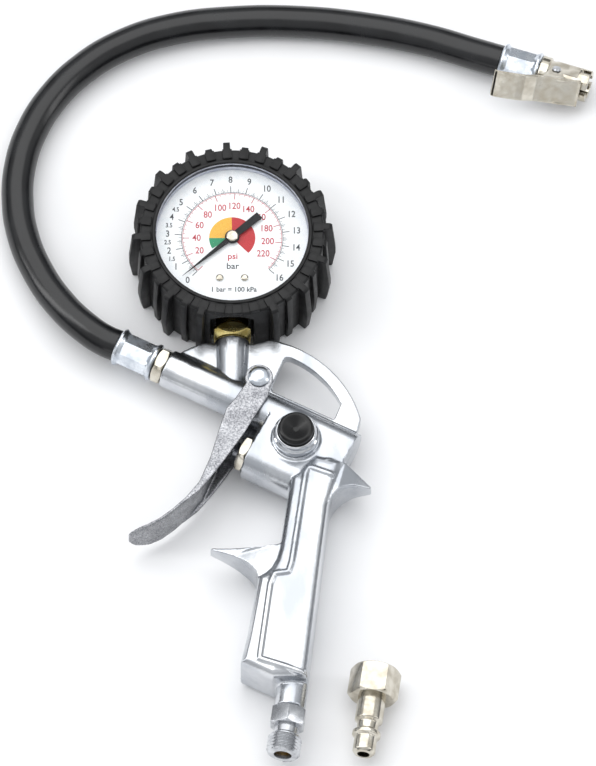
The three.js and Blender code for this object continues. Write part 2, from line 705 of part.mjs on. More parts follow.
// A point so far behind the chuck's ferrule, on its axis.
const behindChuck = (distance) => [
  CHUCK_AT[0] - distance * Math.cos(chuckAxis),
  CHUCK_AT[1] - distance * Math.sin(chuckAxis),
  CHUCK_AT[2],
];
const hoseHeight = (share) => THREE.MathUtils.lerp(HOSE_REST, MID_Z, share);
const hoseLine = HOSE_POINTS.map(([x, y, share]) => [x, y, hoseHeight(share)]);
const hosePath = [hoseStart, ...hoseLine, behindChuck(10), behindChuck(GAP)];
piece(drawing, "hose", BLACK, wire(hosePath, HOSE_R, 12, 30));

// Chuck: ferrule, body with a castellated mouth, seal, core pin and the clip.
piece(chuck, "chuck_ferrule", ZINC, ferrule(0, CHUCK_FERRULE));
const chuckFrom = CHUCK_FERRULE + GAP;
function chuckBody() {
  const solid = join([
    turned("x", [
      [chuckFrom, 0],
      [chuckFrom, CHUCK_R + 0.6],
      [chuckFrom + 3.4, CHUCK_R + 0.6],
      [chuckFrom + 3.8, CHUCK_R - 0.4],
      [chuckFrom + 5, CHUCK_R - 0.4],
      [chuckFrom + 5.4, CHUCK_R],
      [CHUCK_END, CHUCK_R],
      [CHUCK_END, 0],
    ], 28),
    rod("x", 0.8, chuckFrom + 1, BARB_R, 20),
  ]);
  const flatFrom = chuckFrom + 3.4;
  const flatTo = CHUCK_END - 4.6;
  const cuts = [
    rod("x", CHUCK_END - CHUCK_BORE, CHUCK_END + 1, CHUCK_BORE_R, 24),
    rod("x", 0, CHUCK_END, 1.7, 12),
    box(flatFrom, flatTo, CHUCK_FLATS / 2, 9, -9, 9),
    box(flatFrom, flatTo, -9, -CHUCK_FLATS / 2, -9, 9),
    rod("y", -9, 9, CLIP_PIN_R + GAP, 14).translate(CLIP_PIN_AT[0], 0, CLIP_PIN_AT[1]),
    box(CHUCK_END - 3.6, CHUCK_END + 1, -1.2, 1.2, -9, 9),
    box(CHUCK_END - 3.6, CHUCK_END + 1, -9, 9, -1.2, 1.2),
  ];
  return cut(solid, cuts);
}
piece(clip, "chuck_body", NICKEL, chuckBody());
const chuckSeat = CHUCK_END - CHUCK_BORE;
const sealFront = chuckSeat + 2.4;
piece(clip, "chuck_seal", RUBBER, ring("x", chuckSeat + GAP, sealFront, CHUCK_BORE_R - GAP, 1.9, 20));
piece(clip, "core_pin", BRASS, rod("x", chuckSeat - 3, sealFront + 0.6, 1.3, 12));

// The clip: a straight thumb plate, two ears on the pin and a claw at the mouth.
const CLIP_FAR = [0.4, 17];
const CLIP_NEAR = [33, 7];
function clipLever() {
  const ends = [CLIP_FAR, CLIP_NEAR];
  const slope = Math.atan2(CLIP_NEAR[1] - CLIP_FAR[1], CLIP_NEAR[0] - CLIP_FAR[0]);
  const lift = [-CLIP_SHEET * Math.sin(slope), CLIP_SHEET * Math.cos(slope)];
  const plate = outline([...ends, ...ends.map(([x, z]) => [x + lift[0], z + lift[1]]).reverse()]);
  const claw = outline([
    [CLIP_NEAR[0] - CLIP_SHEET, CLIP_NEAR[1] + 0.4],
    [CLIP_NEAR[0] - CLIP_SHEET, CHUCK_R + GAP + 0.1],
    [CLIP_NEAR[0] + 0.2, CHUCK_R + GAP + 0.1],
    [CLIP_NEAR[0] + 0.2, CLIP_NEAR[1] + 0.6],
  ]);
  const ear = new THREE.Shape();
  ear.absarc(CLIP_PIN_AT[0], CLIP_PIN_AT[1], 2.6, Math.PI, 2 * Math.PI, false);
  ear.lineTo(CLIP_PIN_AT[0] + 4.6, 9.3);
  ear.lineTo(CLIP_PIN_AT[0] - 3.6, 11.9);
  const upright = (shape, from, to) => slab(shape, -to, -from, 6).rotateX(Math.PI / 2);
  const blank = join([
    upright(plate, -CLIP_HALF, CLIP_HALF),
    upright(claw, -CLIP_HALF + 1, CLIP_HALF - 1),
    upright(ear, CLIP_HALF - CLIP_SHEET, CLIP_HALF),
    upright(ear, -CLIP_HALF, CLIP_SHEET - CLIP_HALF),
  ]);
  const pinHole = rod("y", -9, 9, CLIP_PIN_R + GAP, 14);
  return cut(blank, [pinHole.translate(CLIP_PIN_AT[0], 0, CLIP_PIN_AT[1])]);
}
piece(clip, "clip_lever", NICKEL, clipLever());
const pinHead = CLIP_HALF + GAP;
piece(clip, "clip_pin", STEEL, turned("y", [
  [-pinHead - 0.6, 0],
  [-pinHead - 0.6, 1.4],
  [-pinHead, 1.8],
  [-pinHead, CLIP_PIN_R],
  [pinHead, CLIP_PIN_R],
  [pinHead, 1.8],
  [pinHead + 0.6, 1.4],
  [pinHead + 0.6, 0],
], 16).translate(CLIP_PIN_AT[0], 0, CLIP_PIN_AT[1]));

// Gauge: brass socket from the stem into the case.
function gaugeSocket() {
  const side = SOCKET_SQUARE / 2;
  const foot = STEM_TOP - GAUGE_Y + GAP;
  const squareTop = foot + SOCKET_SQUARE_LONG;
  const square = box(-side, side, foot, squareTop, -side, side);
  const corners = rod("y", foot, squareTop, side * 1.3, 32);
  const blockFoot = 2.7 - CASE_R;
  const solid = solidOf(square)
    .intersect(solidOf(corners))
    .add(solidOf(rod("y", foot - STEM_BORE_LENGTH + GAP, foot + 1, SOCKET_THREAD_R)))
    .add(solidOf(rod("y", squareTop - 1, blockFoot + 0.5, SOCKET_NECK_R)))
    .add(solidOf(rod("y", -CASE_R, SOCKET_COLLAR - CASE_R, SOCKET_COLLAR_R, 28)))
    .add(solidOf(box(-SOCKET_BLOCK_HALF, SOCKET_BLOCK_HALF, blockFoot, -17.6, -5.4, 0.2)));
  const bore = rod("y", foot - STEM_BORE_LENGTH, blockFoot + 8.5, 1.4, 10);
  return geometryOf(cut(solid, [bore])).translate(0, 0, MID_Z);
}
piece(gauge, "gauge_socket", BRASS, gaugeSocket());

// Gauge: bent tube from the socket, round to its free end.
function bourdonTube() {
  const start = -Math.PI / 2 - Math.asin((SOCKET_BLOCK_HALF + 0.8) / (BOURDON_R - 0.9));
  const tip = degrees(-400);
  const shape = new THREE.Shape();
  shape.absarc(0, 0, BOURDON_R + 0.9, start, tip, true);
  shape.absarc(0, 0, BOURDON_R - 0.9, tip, start, false);
  return slab(shape, MID_Z - BOURDON_HALF, MID_Z + BOURDON_HALF, 28);
}
piece(gauge, "bourdon_tube", BRASS, bourdonTube());

// Gauge: case, a cup with a slot in its wall for the socket.
function gaugeCase() {
  const cup = turned("z", [
    [CASE_BACK, 0],
    [CASE_BACK, CASE_R - 1],
    [CASE_BACK + 1, CASE_R],
    [CASE_FRONT, CASE_R],
    [CASE_FRONT, CASE_R - CASE_WALL],
    [CASE_BACK + 1.3, CASE_R - CASE_WALL],
    [CASE_BACK + 1.3, 0],
  ], 48);
  const slotHalf = SOCKET_COLLAR_R + GAP;
  const slot = box(-slotHalf, slotHalf, -40, -20, MID_Z, MID_Z + SLOT_TOP);
  return cut(solidOf(cup), [rod("y", -40, -20, slotHalf, 28).translate(0, 0, MID_Z), slot]);
}
piece(gauge, "gauge_case", STEEL, gaugeCase());

// Gauge: movement plates, arbor, sector with its link, and hairspring.
const backPlateFrom = MID_Z + 0.6;
const backPlateTop = backPlateFrom + 1.3;
const frontPlateFrom = MID_Z + 7;
const frontPlateTo = frontPlateFrom + 1.2;
const arborFrom = backPlateFrom + 0.3;
const sectorFrom = backPlateTop + 1.8;
const pinionFrom = backPlateTop + 1.2;
const SECTOR_AT = [6.5, -11.3];
const plateShape = outline([[-8.5, 6], [8.5, 6], [13, -8], [8, -18.8], [-6.5, -18.8], [-9, -12]]);
const pillars = [[-6.5, 3], [5.5, 3.5], [-7, -14]];
const backPlate = join([
  slab(plateShape, backPlateFrom, backPlateTop),
  ...pillars.map(([x, y]) => rod("z", backPlateTop - 0.5, frontPlateFrom - GAP, 1.3, 12).translate(x, y, 0)),
]);
const arborHoles = (from, to) => [
  rod("z", from, to, 1.2, 12),
  rod("z", from, to, 1.2, 12).translate(...SECTOR_AT, 0),
];
piece(gauge, "movement_back_plate", BRASS, cut(backPlate, arborHoles(backPlateFrom - 1, backPlateTop + 0.6)));
const frontPlate = join([
  slab(plateShape, frontPlateFrom, frontPlateTo),
  ...[-POST_X, POST_X].map((x) =>
    rod("z", frontPlateTo - 0.5, DIAL_TOP - DIAL_THICK - GAP, 1.8, 14).translate(x, POST_Y, 0)),
]);
const screwFoot = DIAL_TOP - 4.3;
const postHoles = [-POST_X, POST_X].map((x) =>
  rod("z", screwFoot - 0.4, DIAL_TOP, 1, 10).translate(x, POST_Y, 0));
const frontHoles = [...arborHoles(frontPlateFrom - 1, frontPlateTo + 1), ...postHoles];
piece(gauge, "movement_front_plate", BRASS, cut(frontPlate, frontHoles));
piece(gauge, "pinion_arbor", STEEL, turned("z", [
  [arborFrom, 0],
  [arborFrom, 0.9],
  [pinionFrom, 0.9],
  [pinionFrom, PINION_R],
  [pinionFrom + 2.2, PINION_R],
  [pinionFrom + 2.2, 0.9],
  [DIAL_TOP + 0.6, 0.9],
  [DIAL_TOP + 0.6, 0],
], 14));
function sectorGear() {
  const shape = new THREE.Shape();
  shape.moveTo(0, -1.8);
  shape.lineTo(1.8, 0);
  shape.absarc(0, 0, SECTOR_R, degrees(78), degrees(126), false);
  shape.lineTo(-2, 0);
  const tail = outline([[-1.6, -1], [1, -1.8], [6.2, -3.6], [6.2, -2], [1.4, 1.4]]);
  const solid = join([
    slab(shape, sectorFrom, sectorFrom + 1, 8),
    slab(tail, sectorFrom, sectorFrom + 1),
    rod("z", arborFrom, frontPlateTo - GAP, 0.9, 12),
    rod("z", sectorFrom - 1, sectorFrom + 2, 1.7, 12),
  ]);
  return geometryOf(solid).translate(...SECTOR_AT, 0);
}
piece(gauge, "sector_gear", BRASS, sectorGear());
const spiral = Array.from({ length: 37 }, (_, i) => {
  const angle = (2 * Math.PI * i) / 12;
  return [(1.8 + i * 0.09) * Math.cos(angle), (1.8 + i * 0.09) * Math.sin(angle), frontPlateTo + 1.3];
});
piece(gauge, "hairspring", STEEL, wire(spiral, 0.2, 4, 48));

// Gauge: dial, its two screws, pointer, hub, spacer ring, lens and bezel ring.
const screwXs = { left: -POST_X, right: POST_X };
const dial = solidOf(rod("z", DIAL_TOP - DIAL_THICK, DIAL_TOP, DIAL_R, 48));
const dialHole = (radius) => rod("z", DIAL_TOP - 1.7, DIAL_TOP + 1.3, radius, 12);
const screwHoles = Object.values(screwXs).map((x) => dialHole(1.1).translate(x, POST_Y, 0));
piece(gauge, "dial_plate", WHITE, cut(dial, [dialHole(1.4), ...screwHoles]));
for (const [side, x] of Object.entries(screwXs))
  piece(gauge, "dial_screw_" + side, NICKEL, turned("z", [
    [screwFoot, 0],
    [screwFoot, 0.7],
    [DIAL_TOP + GAP, 0.7],
    [DIAL_TOP + GAP, 1.5],
    [DIAL_TOP + GAP + 0.5, 1.3],
    [DIAL_TOP + GAP + 0.8, 0],
  ], 14).translate(x, POST_Y, 0));

function pointer() {
  const shape = new THREE.Shape();
  shape.moveTo(NEEDLE, 0);
  shape.lineTo(2.6, 1);
  shape.absarc(0, 0, 2.8, degrees(20), degrees(152), false);
  shape.lineTo(-14, 1.55);
  shape.lineTo(-14, -1.55);
  shape.absarc(0, 0, 2.8, degrees(208), degrees(340), false);
  shape.lineTo(2.6, -1);
  return slab(shape, DIAL_TOP + 1, DIAL_TOP + 1.4, 6).rotateZ(degrees(NEEDLE_ANGLE));
}
piece(gauge, "pointer", BLACK, pointer());
const hubFrom = DIAL_TOP + 1.4 + GAP;
piece(gauge, "pointer_hub", NICKEL, turned("z", [
  [hubFrom, 0],
  [hubFrom, 2.3],
  [hubFrom + 0.5, 2.3],
  [hubFrom + 0.8, 1.8],
  [hubFrom + 0.8, 0],
], 20));
const caseInner = CASE_R - CASE_WALL;
piece(gauge, "spacer_ring", CHROME, ring("z", DIAL_TOP + GAP, CASE_FRONT, caseInner - GAP, BEZEL_R, 48));
const lensFrom = CASE_FRONT + GAP;
piece(gauge, "lens", CLEAR, rod("z", lensFrom, lensFrom + LENS, CASE_R - 0.1, 48));
const bezelFrom = lensFrom + LENS + GAP;
const bezelTo = bezelFrom + BEZEL;
piece(gauge, "bezel_ring", CHROME, ring("z", bezelFrom, bezelTo, CASE_R - 0.1, BEZEL_R, 48));

// Gauge: rubber boot, with tall and short treads in turn and an arched notch for the socket.
const lipFrom = bezelTo + GAP;
const bootFront = lipFrom + BOOT_LIP;

function treadTop(i) {
  if (FLUSH_TREADS.includes(i)) return BOOT_R;
  return i % 2 ? SHORT_TREAD_R : TALL_TREAD_R;
}

function rubberBoot() {
  const points = [];
  for (let i = 0; i < TREADS; i++) {
    const middle = FIRST_TREAD + (i * 360) / TREADS;
    for (const [radius, turn] of [
      [BOOT_R, -TREAD_HALF * 1.25],
      [treadTop(i), -TREAD_HALF],
      [treadTop(i), TREAD_HALF],
      [BOOT_R, TREAD_HALF * 1.25],
    ]) {
      const angle = degrees(middle + turn);
      points.push([radius * Math.cos(angle), radius * Math.sin(angle)]);
    }
  }
  const inner = turned("z", [
    [-1, 0],
    [-1, BOOT_SKIRT_R],
    [CASE_BACK - GAP, BOOT_SKIRT_R],
    [CASE_BACK - GAP, CASE_R + GAP],
    [lipFrom, CASE_R + GAP],
    [lipFrom, BOOT_LIP_R],
    [bootFront + 1, BOOT_LIP_R],
    [bootFront + 1, 0],
  ], 48);
  const notch = new THREE.Shape();
  notch.moveTo(-NOTCH_HALF, -1);
  notch.lineTo(NOTCH_HALF, -1);
  notch.lineTo(NOTCH_HALF, NOTCH_TOP - NOTCH_DROP);
  notch.quadraticCurveTo(0, NOTCH_TOP + NOTCH_DROP, -NOTCH_HALF, NOTCH_TOP - NOTCH_DROP);
  const notchCut = slab(notch, CASE_R - 6, TALL_TREAD_R + 5, 6).rotateX(Math.PI / 2);
  const treads = slab(outline(points), 0, bootFront - 0.6);
  const rim = rod("z", 1, bootFront, BOOT_R - 0.4, 64);
  return cut(join([treads, rim]), [inner, notchCut]);
}
piece(gauge, "rubber_boot", RUBBER, rubberBoot());

// The loose plug: hexagon with a female thread, shank, locking groove, collar and nose.
const plugSolid = join([
  hexBar("x", 0, PLUG_HEX, PLUG_FLATS, 30),
  turned("x", [
    [PLUG_HEX - 1, 0],
    [PLUG_HEX - 1, PLUG_SHANK_R],
    [PLUG_SHANK_END, PLUG_SHANK_R],
    [PLUG_SHANK_END + 0.8, PLUG_GROOVE_R],
    [PLUG_COLLAR_FROM - 0.8, PLUG_GROOVE_R],
    [PLUG_COLLAR_FROM, PLUG_COLLAR_R],
    [PLUG_COLLAR_FROM + 1.6, PLUG_COLLAR_R],
    [PLUG_COLLAR_FROM + 2.1, PLUG_NOSE_R],
    [PLUG_END - 1, PLUG_NOSE_R],
    [PLUG_END, PLUG_NOSE_R - 0.8],
    [PLUG_END, 0],
  ], 24),
]);
const plugBores = [
  rod("x", -1, PLUG_BORE, PLUG_BORE_R, 24),
  rod("x", 0, PLUG_END + 1, PLUG_AIR_R, 14),
];
piece(plug, "quick_plug", NICKEL, cut(plugSolid, plugBores));

export default object;
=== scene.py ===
# Tyre inflator with gauge, lying on its side on a pale floor: the camera first, then the piece of hose,
# then each piece in the order that the tool is put together.
import math

import bmesh
import bpy
from mathutils import Matrix, Vector


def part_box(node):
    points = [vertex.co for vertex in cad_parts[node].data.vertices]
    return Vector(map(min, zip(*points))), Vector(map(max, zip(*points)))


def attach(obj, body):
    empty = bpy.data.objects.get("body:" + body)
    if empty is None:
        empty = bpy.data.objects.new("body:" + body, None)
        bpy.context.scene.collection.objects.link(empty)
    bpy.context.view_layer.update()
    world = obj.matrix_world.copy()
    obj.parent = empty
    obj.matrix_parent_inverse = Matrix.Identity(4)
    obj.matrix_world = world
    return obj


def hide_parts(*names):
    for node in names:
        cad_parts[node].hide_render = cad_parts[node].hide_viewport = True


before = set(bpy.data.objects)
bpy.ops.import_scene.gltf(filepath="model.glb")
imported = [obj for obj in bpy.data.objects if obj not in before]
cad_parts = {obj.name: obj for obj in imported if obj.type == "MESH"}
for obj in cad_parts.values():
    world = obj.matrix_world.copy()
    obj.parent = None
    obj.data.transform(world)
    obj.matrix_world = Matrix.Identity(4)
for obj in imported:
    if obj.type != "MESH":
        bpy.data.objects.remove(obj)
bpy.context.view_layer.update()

MM = 0.001

# Camera: a long lens that looks down from above the inlet end, so that the dial is seen at a slant.
# The lens is no longer than this, since a longer one puts views from other sides too far away.
def middle(box):
    """The middle of a box, in millimetres."""
    return sum(box, Vector()) / 2 / MM


def linked(name, data):
    """A new object in the scene."""
    thing = bpy.data.objects.new(name, data)
    bpy.context.scene.collection.objects.link(thing)
    return thing


GAUGE_CENTRE = middle(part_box("dial_plate"))
GAUGE_UP = 61.45  # gauge centre above the point where the barrel and stem axes meet
CROSSING = Vector((GAUGE_CENTRE.x, GAUGE_CENTRE.y - GAUGE_UP, 0))  # that point, on the floor
VIEW_CENTRE = (CROSSING + Vector((25.3, 11.95, 0))) * MM
VIEW_SLOPE = Vector((0, -0.4384, 0.8988))
VIEW_DISTANCE = 9.5
FOCAL_LENGTH = 1160.6
FAR_CLIP = 40
camera = linked("camera", bpy.data.cameras.new("camera"))
camera.data.lens = FOCAL_LENGTH
camera.data.sensor_width = 36
camera.data.clip_end = FAR_CLIP
camera.location = VIEW_CENTRE + VIEW_SLOPE.normalized() * VIEW_DISTANCE
camera.rotation_euler = (-VIEW_SLOPE).to_track_quat("-Z", "Y").to_euler()
bpy.context.scene.camera = camera

# Hose: one length of smooth extruded rubber over textile, pushed on a barb at each end and crimped.
# It leaves the gun's ferrule, turns once in a wide arc on the floor and ends in the chuck's ferrule.
HOSE_DIAMETER = 12.4
HOSE_ROUTE = [
    (-43.83, 22.14, 11.5), (-48.3, 24.2, 11.4), (-55.6, 29.6, 10.9), (-66.6, 41.9, 9.2),
    (-75.1, 56.45, 7.6), (-80.8, 72.15, 6.7), (-82.9, 87.25, 6.4), (-82, 101.95, 6.4),
    (-77.8, 116.55, 6.4), (-69.8, 131.05, 6.4), (-57.4, 144.45, 6.4), (-42.5, 154.35, 6.4),
    (-23.6, 161.15, 6.4), (-0.9, 164.25, 6.4), (25.9, 164.45, 6.4), (52.7, 161.35, 6.5),
    (75.5, 156.25, 6.8), (94.59, 149.69, 7.5), (103.81, 146.69, 7.6),
]


def linear(code):
    """An sRGB hex colour as the linear colour that a shader takes."""
    shares = [int(code[i : i + 2], 16) / 255 for i in (1, 3, 5)]
    return [s / 12.92 if s <= 0.04045 else ((s + 0.055) / 1.055) ** 2.4 for s in shares] + [1]


def add(tree, kind, inputs=None, **settings):
    """A node with its settings; an input takes a value, or another node's output as a link."""
    node = tree.nodes.new(kind)
    for name, value in settings.items():
        setattr(node, name, value)
    for name, value in (inputs or {}).items():
        if isinstance(value, bpy.types.NodeSocket):
            tree.links.new(value, node.inputs[name])
        else:
            node.inputs[name].default_value = value
    return node


def blank(name):
    """A material with an empty tree, and its tree."""
    material = bpy.data.materials.new(name)
    material.use_nodes = True
    material.node_tree.nodes.clear()
    return material, material.node_tree


def blotches(tree, size, detail=3, stretch=(1, 1, 1)):
    """A noise whose patches are about this many millimetres across."""
    where = add(tree, "ShaderNodeTexCoord")
    scaled = add(tree, "ShaderNodeMapping", {"Vector": where.outputs["Object"], "Scale": stretch})
    settings = {"Vector": scaled.outputs[0], "Scale": 1 / (size * MM), "Detail": detail}
    return add(tree, "ShaderNodeTexNoise", settings).outputs["Fac"]


def between(tree, share, low, high, start=0.3, end=0.7):
    """A value from low to high as share goes from start to end."""
    settings = {"Value": share, "From Min": start, "From Max": end, "To Min": low, "To Max": high}
    return add(tree, "ShaderNodeMapRange", settings).outputs[0]


def tint(tree, share, low, high, start=0.35, end=0.65):
    """A colour from low to high, both hex, as share goes from start to end."""
    ramp = add(tree, "ShaderNodeValToRGB", {"Fac": share})
    for stop, place, code in zip(ramp.color_ramp.elements, (start, end), (low, high)):
        stop.position = place
        stop.color = linear(code)
    return ramp.outputs[0]


def finish(tree, colour, roughness, relief, depth, **constants):
    """The shader and output: linked colour and roughness, relief as a bump of so many millimetres."""
    bump = add(tree, "ShaderNodeBump", {"Height": relief, "Distance": depth * MM, "Strength": 1})
    links = {"Base Color": colour, "Roughness": roughness, "Normal": bump.outputs[0]}
    constants = {name.replace("_", " "): value for name, value in constants.items()}
    shader = add(tree, "ShaderNodeBsdfPrincipled", {**links, **constants})
    add(tree, "ShaderNodeOutputMaterial", {"Surface": shader.outputs[0]})


def extruded_rubber():
    """Black EPDM cover straight from the die: a wet-looking skin with faint waves."""
    material, tree = blank("extruded_epdm_rubber")
    waves = blotches(tree, 9, 2)
    colour = tint(tree, waves, "#0b0b0d", "#141517")
    finish(tree, colour, between(tree, waves, 0.2, 0.28), waves, 0.08)
    return material


def fit(piece, material, body, slot=None, *nodes):
    """Gives a finished piece its material and body, and hides the nodes that it stands for."""
    piece.data.materials.clear()
    piece.data.materials.append(material)
    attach(piece, body)
    if nodes:
        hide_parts(*nodes)
    return piece


hose_curve = bpy.data.curves.new("air_hose", "CURVE")
hose_curve.dimensions = "3D"
hose_curve.bevel_depth = HOSE_DIAMETER / 2 * MM
hose_curve.bevel_resolution = 10
hose_curve.resolution_u = 16
hose_curve.use_fill_caps = True
hose_line = hose_curve.splines.new("BEZIER")
hose_line.bezier_points.add(len(HOSE_ROUTE) - 1)
for knot, place in zip(hose_line.bezier_points, HOSE_ROUTE):
    knot.co = (CROSSING + Vector(place)) * MM
    knot.handle_left_type = knot.handle_right_type = "AUTO"
air_hose = linked("air_hose", hose_curve)
fit(air_hose, extruded_rubber(), "gun", "hose_rubber", "hose")

# Casting: the barrel, valve housing, grip, spurs and web in one pressure die casting of aluminium.
# The parting edges are ground off and the whole is tumbled bright, so every edge is soft.
# A raised bead is cast along the grip's upper side and a groove along its lower side.
GUN_MID_Z = sum(corner.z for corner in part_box("body_casting")) / 2 / MM
STEM_FOOT = CROSSING + Vector((0, 0, GUN_MID_Z))
CAST_VOXEL = 0.4
BEAD_R = 1.15
BEAD_SINK = 0.3
GROOVE_R = BEAD_R * 0.7
BEAD_STEP = 1.5
IN_MM = Matrix.Scale(MM, 4)  # a frame that counts in millimetres
BEAD = [(39, -37.7), (29.5, -34), (28.2, -37), (22.9, -75), (21.7, -79.4), (16.4, -80.2), (14.7, -84.7),
        (10.6, -116), (27.5, -121.8)]


def placed(x, y, z=0, turn=0):
    """The frame at a point of the drawing, whose x axis is turned about Z; millimetres to metres."""
    shift = Matrix.Translation(STEM_FOOT + Vector((x, y, z)))
    return IN_MM @ shift @ Matrix.Rotation(math.radians(turn), 4, "Z")


def mesh_piece(name, place, verts, faces):
    """A named closed mesh, its faces outwards; verts are in the given frame."""
    mesh = bpy.data.meshes.new(name)
    mesh.from_pydata([place @ Vector(v) for v in verts], [], faces)
    shell = bmesh.new()
    shell.from_mesh(mesh)
    bmesh.ops.recalc_face_normals(shell, faces=shell.faces)
    shell.to_mesh(mesh)
    shell.free()
    return linked(name, mesh)


def settle(piece, crease=30):
    """Turns a piece's modifiers into its plain mesh, smooth but for edges over so many degrees."""
    bpy.context.view_layer.update()
    depsgraph = bpy.context.evaluated_depsgraph_get()
    mesh = bpy.data.meshes.new_from_object(piece.evaluated_get(depsgraph))
    piece.modifiers.clear()
    piece.data = mesh
    mesh.shade_smooth()
    mesh.set_sharp_from_angle(angle=math.radians(crease))
    return piece


def combined(piece, other, how):
    """A piece joined with, cut by or kept inside another, which is used up."""
    modifier = piece.modifiers.new("combine", "BOOLEAN")
    modifier.operation = how
    modifier.object = other
    modifier.solver = "EXACT"
    settle(piece)
    bpy.data.objects.remove(other)
    return piece


def merged_copy(node, name):
    """A node's shape as a new piece with its shared corners merged."""
    piece = linked(name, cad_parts[node].data.copy())
    shell = bmesh.new()
    shell.from_mesh(piece.data)
    bmesh.ops.remove_doubles(shell, verts=shell.verts, dist=0.001 * MM)
    shell.to_mesh(piece.data)
    shell.free()
    return piece


def softened(piece, voxel, passes):
    """Remeshes a piece evenly and rounds its edges, as casting, forming or tumbling does."""
    remesh = piece.modifiers.new("even", "REMESH")
    remesh.mode = "VOXEL"
    remesh.voxel_size = voxel * MM
    smooth = piece.modifiers.new("soft", "SMOOTH")
    smooth.factor = 0.5
    smooth.iterations = passes
    return settle(piece, 60)


def taken_mesh(thing):
    """The plain mesh of a curve or of words, which are used up."""
    mesh = bpy.data.meshes.new_from_object(thing)
    bpy.data.objects.remove(thing)
    return mesh


def beaded(name, body, line, side, radius, sink):
    """A round bar that follows the upper or lower face of a body along a line of the drawing."""
    corners = [placed(x, y) @ Vector() for x, y in line]
    track = []
    for start, end in zip(corners, corners[1:]):
        steps = max(1, round((end - start).length / (BEAD_STEP * MM)))
        track += [start.lerp(end, k / steps) for k in range(steps)]
    curve = bpy.data.curves.new(name, "CURVE")
    curve.dimensions = "3D"
    curve.bevel_depth = radius * MM
    curve.use_fill_caps = True
    spline = curve.splines.new("POLY")
    spline.points.add(len(track))
    for knot, place in zip(spline.points, [*track, corners[-1]]):
        hit = body.ray_cast((place.x, place.y, side), (0, 0, -side))[1]
        knot.co = (hit.x, hit.y, hit.z - side * sink * MM, 1)
    return linked(name, taken_mesh(linked(name, curve)))


def die_cast_aluminium():
    """Tumbled LM24 die casting: bright, with grey flow streaks, a slight orange peel and fine pits."""
    material, tree = blank("tumbled_die_cast_aluminium")
    flow = blotches(tree, 14, 4, (1, 0.35, 1))
    peel = blotches(tree, 2.4, 3)
    pits = blotches(tree, 0.5, 2)
    colour = tint(tree, flow, "#b3b7bd", "#d9dbde", 0.36, 0.66)
    height = add(tree, "ShaderNodeMath", {0: pits, 1: 0.12, 2: peel}, operation="MULTIPLY_ADD")
    finish(tree, colour, between(tree, flow, 0.3, 0.2), height.outputs[0], 0.045, Metallic=1)
    return material


body = merged_copy("body_casting", "cast_body")
upper = beaded("upper_bead", body, BEAD, 1, BEAD_R, BEAD_SINK)
lower = beaded("lower_groove", body, BEAD, -1, GROOVE_R, 0)
combined(body, lower, "DIFFERENCE")
combined(body, upper, "UNION")
softened(body, CAST_VOXEL, 3)
fit(body, die_cast_aluminium(), "gun", "casting", "body_casting")


def turned(name, place, profile, sides=96, ease=0.0, shape=None):
    """A piece turned about local X from (along, radius) points, which end on the axis or where they began.
    ease rounds the corners; shape gives each point a radius of its own from (along, radius, angle)."""
    points = eased(profile, ease) if ease else profile
    loop = points[0] == points[-1] and points[0][1] > 0
    if loop:
        points = points[:-1]
    verts, rings = [], []
    for along, radius in points:
        count = sides if radius > 0 else 1
        rings.append(range(len(verts), len(verts) + count))
        for i in range(count):
            angle = 2 * math.pi * i / sides
            reach = shape(along, radius, angle) if shape and radius > 0 else radius
            verts.append((along, reach * math.cos(angle), reach * math.sin(angle)))
    faces = []
    for a, b in zip(rings, [*rings[1:], rings[0]] if loop else rings[1:]):
        for i in range(sides):
            j = (i + 1) % sides
            corners = (a[i % len(a)], a[j % len(a)], b[j % len(b)], b[i % len(b)])
            face = list(dict.fromkeys(corners))
            if len(face) > 2:
                faces.append(face)
    return smooth(mesh_piece(name, place, verts, faces))


def rod(name, place, start, end, radius, sides=48):
    """A plain round bar along local X."""
    return turned(name, place, [(start, 0), (start, radius), (end, radius), (end, 0)], sides)


def eased(profile, radius, steps=3):
    """The profile with each inner corner rounded to about that radius."""
    made = [profile[0]]
    for before, corner, after in zip(profile, profile[1:], profile[2:]):
        b, c, a = Vector(before), Vector(corner), Vector(after)
        reach = min(radius, (c - b).length * 0.45, (a - c).length * 0.45)
        start, end = c + (b - c).normalized() * reach, c + (a - c).normalized() * reach
        for k in range(steps + 1):
            t = k / steps
            made.append(tuple((1 - t) ** 2 * start + 2 * t * (1 - t) * c + t * t * end))
    return [*made, profile[-1]]


def smooth(piece, crease=32):
    """Shades a piece smooth but for edges over so many degrees."""
    piece.data.shade_smooth()
    piece.data.set_sharp_from_angle(angle=math.radians(crease))
    return piece


def bevelled(piece, width, segments=2):
    """Breaks the sharp edges of a piece."""
    bevel = piece.modifiers.new("break", "BEVEL")
    bevel.width = width * MM
    bevel.segments = segments
    bevel.limit_method = "ANGLE"
    bevel.angle_limit = math.radians(28)
    bevel.use_clamp_overlap = True
    return settle(piece)


def hex_bar(name, place, start, end, flats, turn=0, chamfer=0.7):
    """A hexagon bar with turned chamfers at both ends; turn 30 puts a corner on top."""
    corner = flats / math.sqrt(3)
    twist = Matrix.Rotation(math.radians(turn), 4, "X")
    bar = rod(name, place @ twist, start, end, corner, 6)
    face, clear = flats * 0.49, corner * 1.02
    ends = [(start, 0), (start, face), (start + chamfer, clear), (end - chamfer, clear), (end, face),
            (end, 0)]
    return bevelled(combined(bar, turned("chamfers", place, ends, 64), "INTERSECT"), 0.12)


def geometry_tree(name, **inputs):
    """A geometry tree with these named inputs and one output, and its inputs as sockets."""
    tree = bpy.data.node_groups.new(name, "GeometryNodeTree")
    for title, kind in inputs.items():
        tree.interface.new_socket(title, in_out="INPUT", socket_type="NodeSocket" + kind)
    tree.interface.new_socket("Geometry", in_out="OUTPUT", socket_type="NodeSocketGeometry")
    return tree, add(tree, "NodeGroupInput").outputs


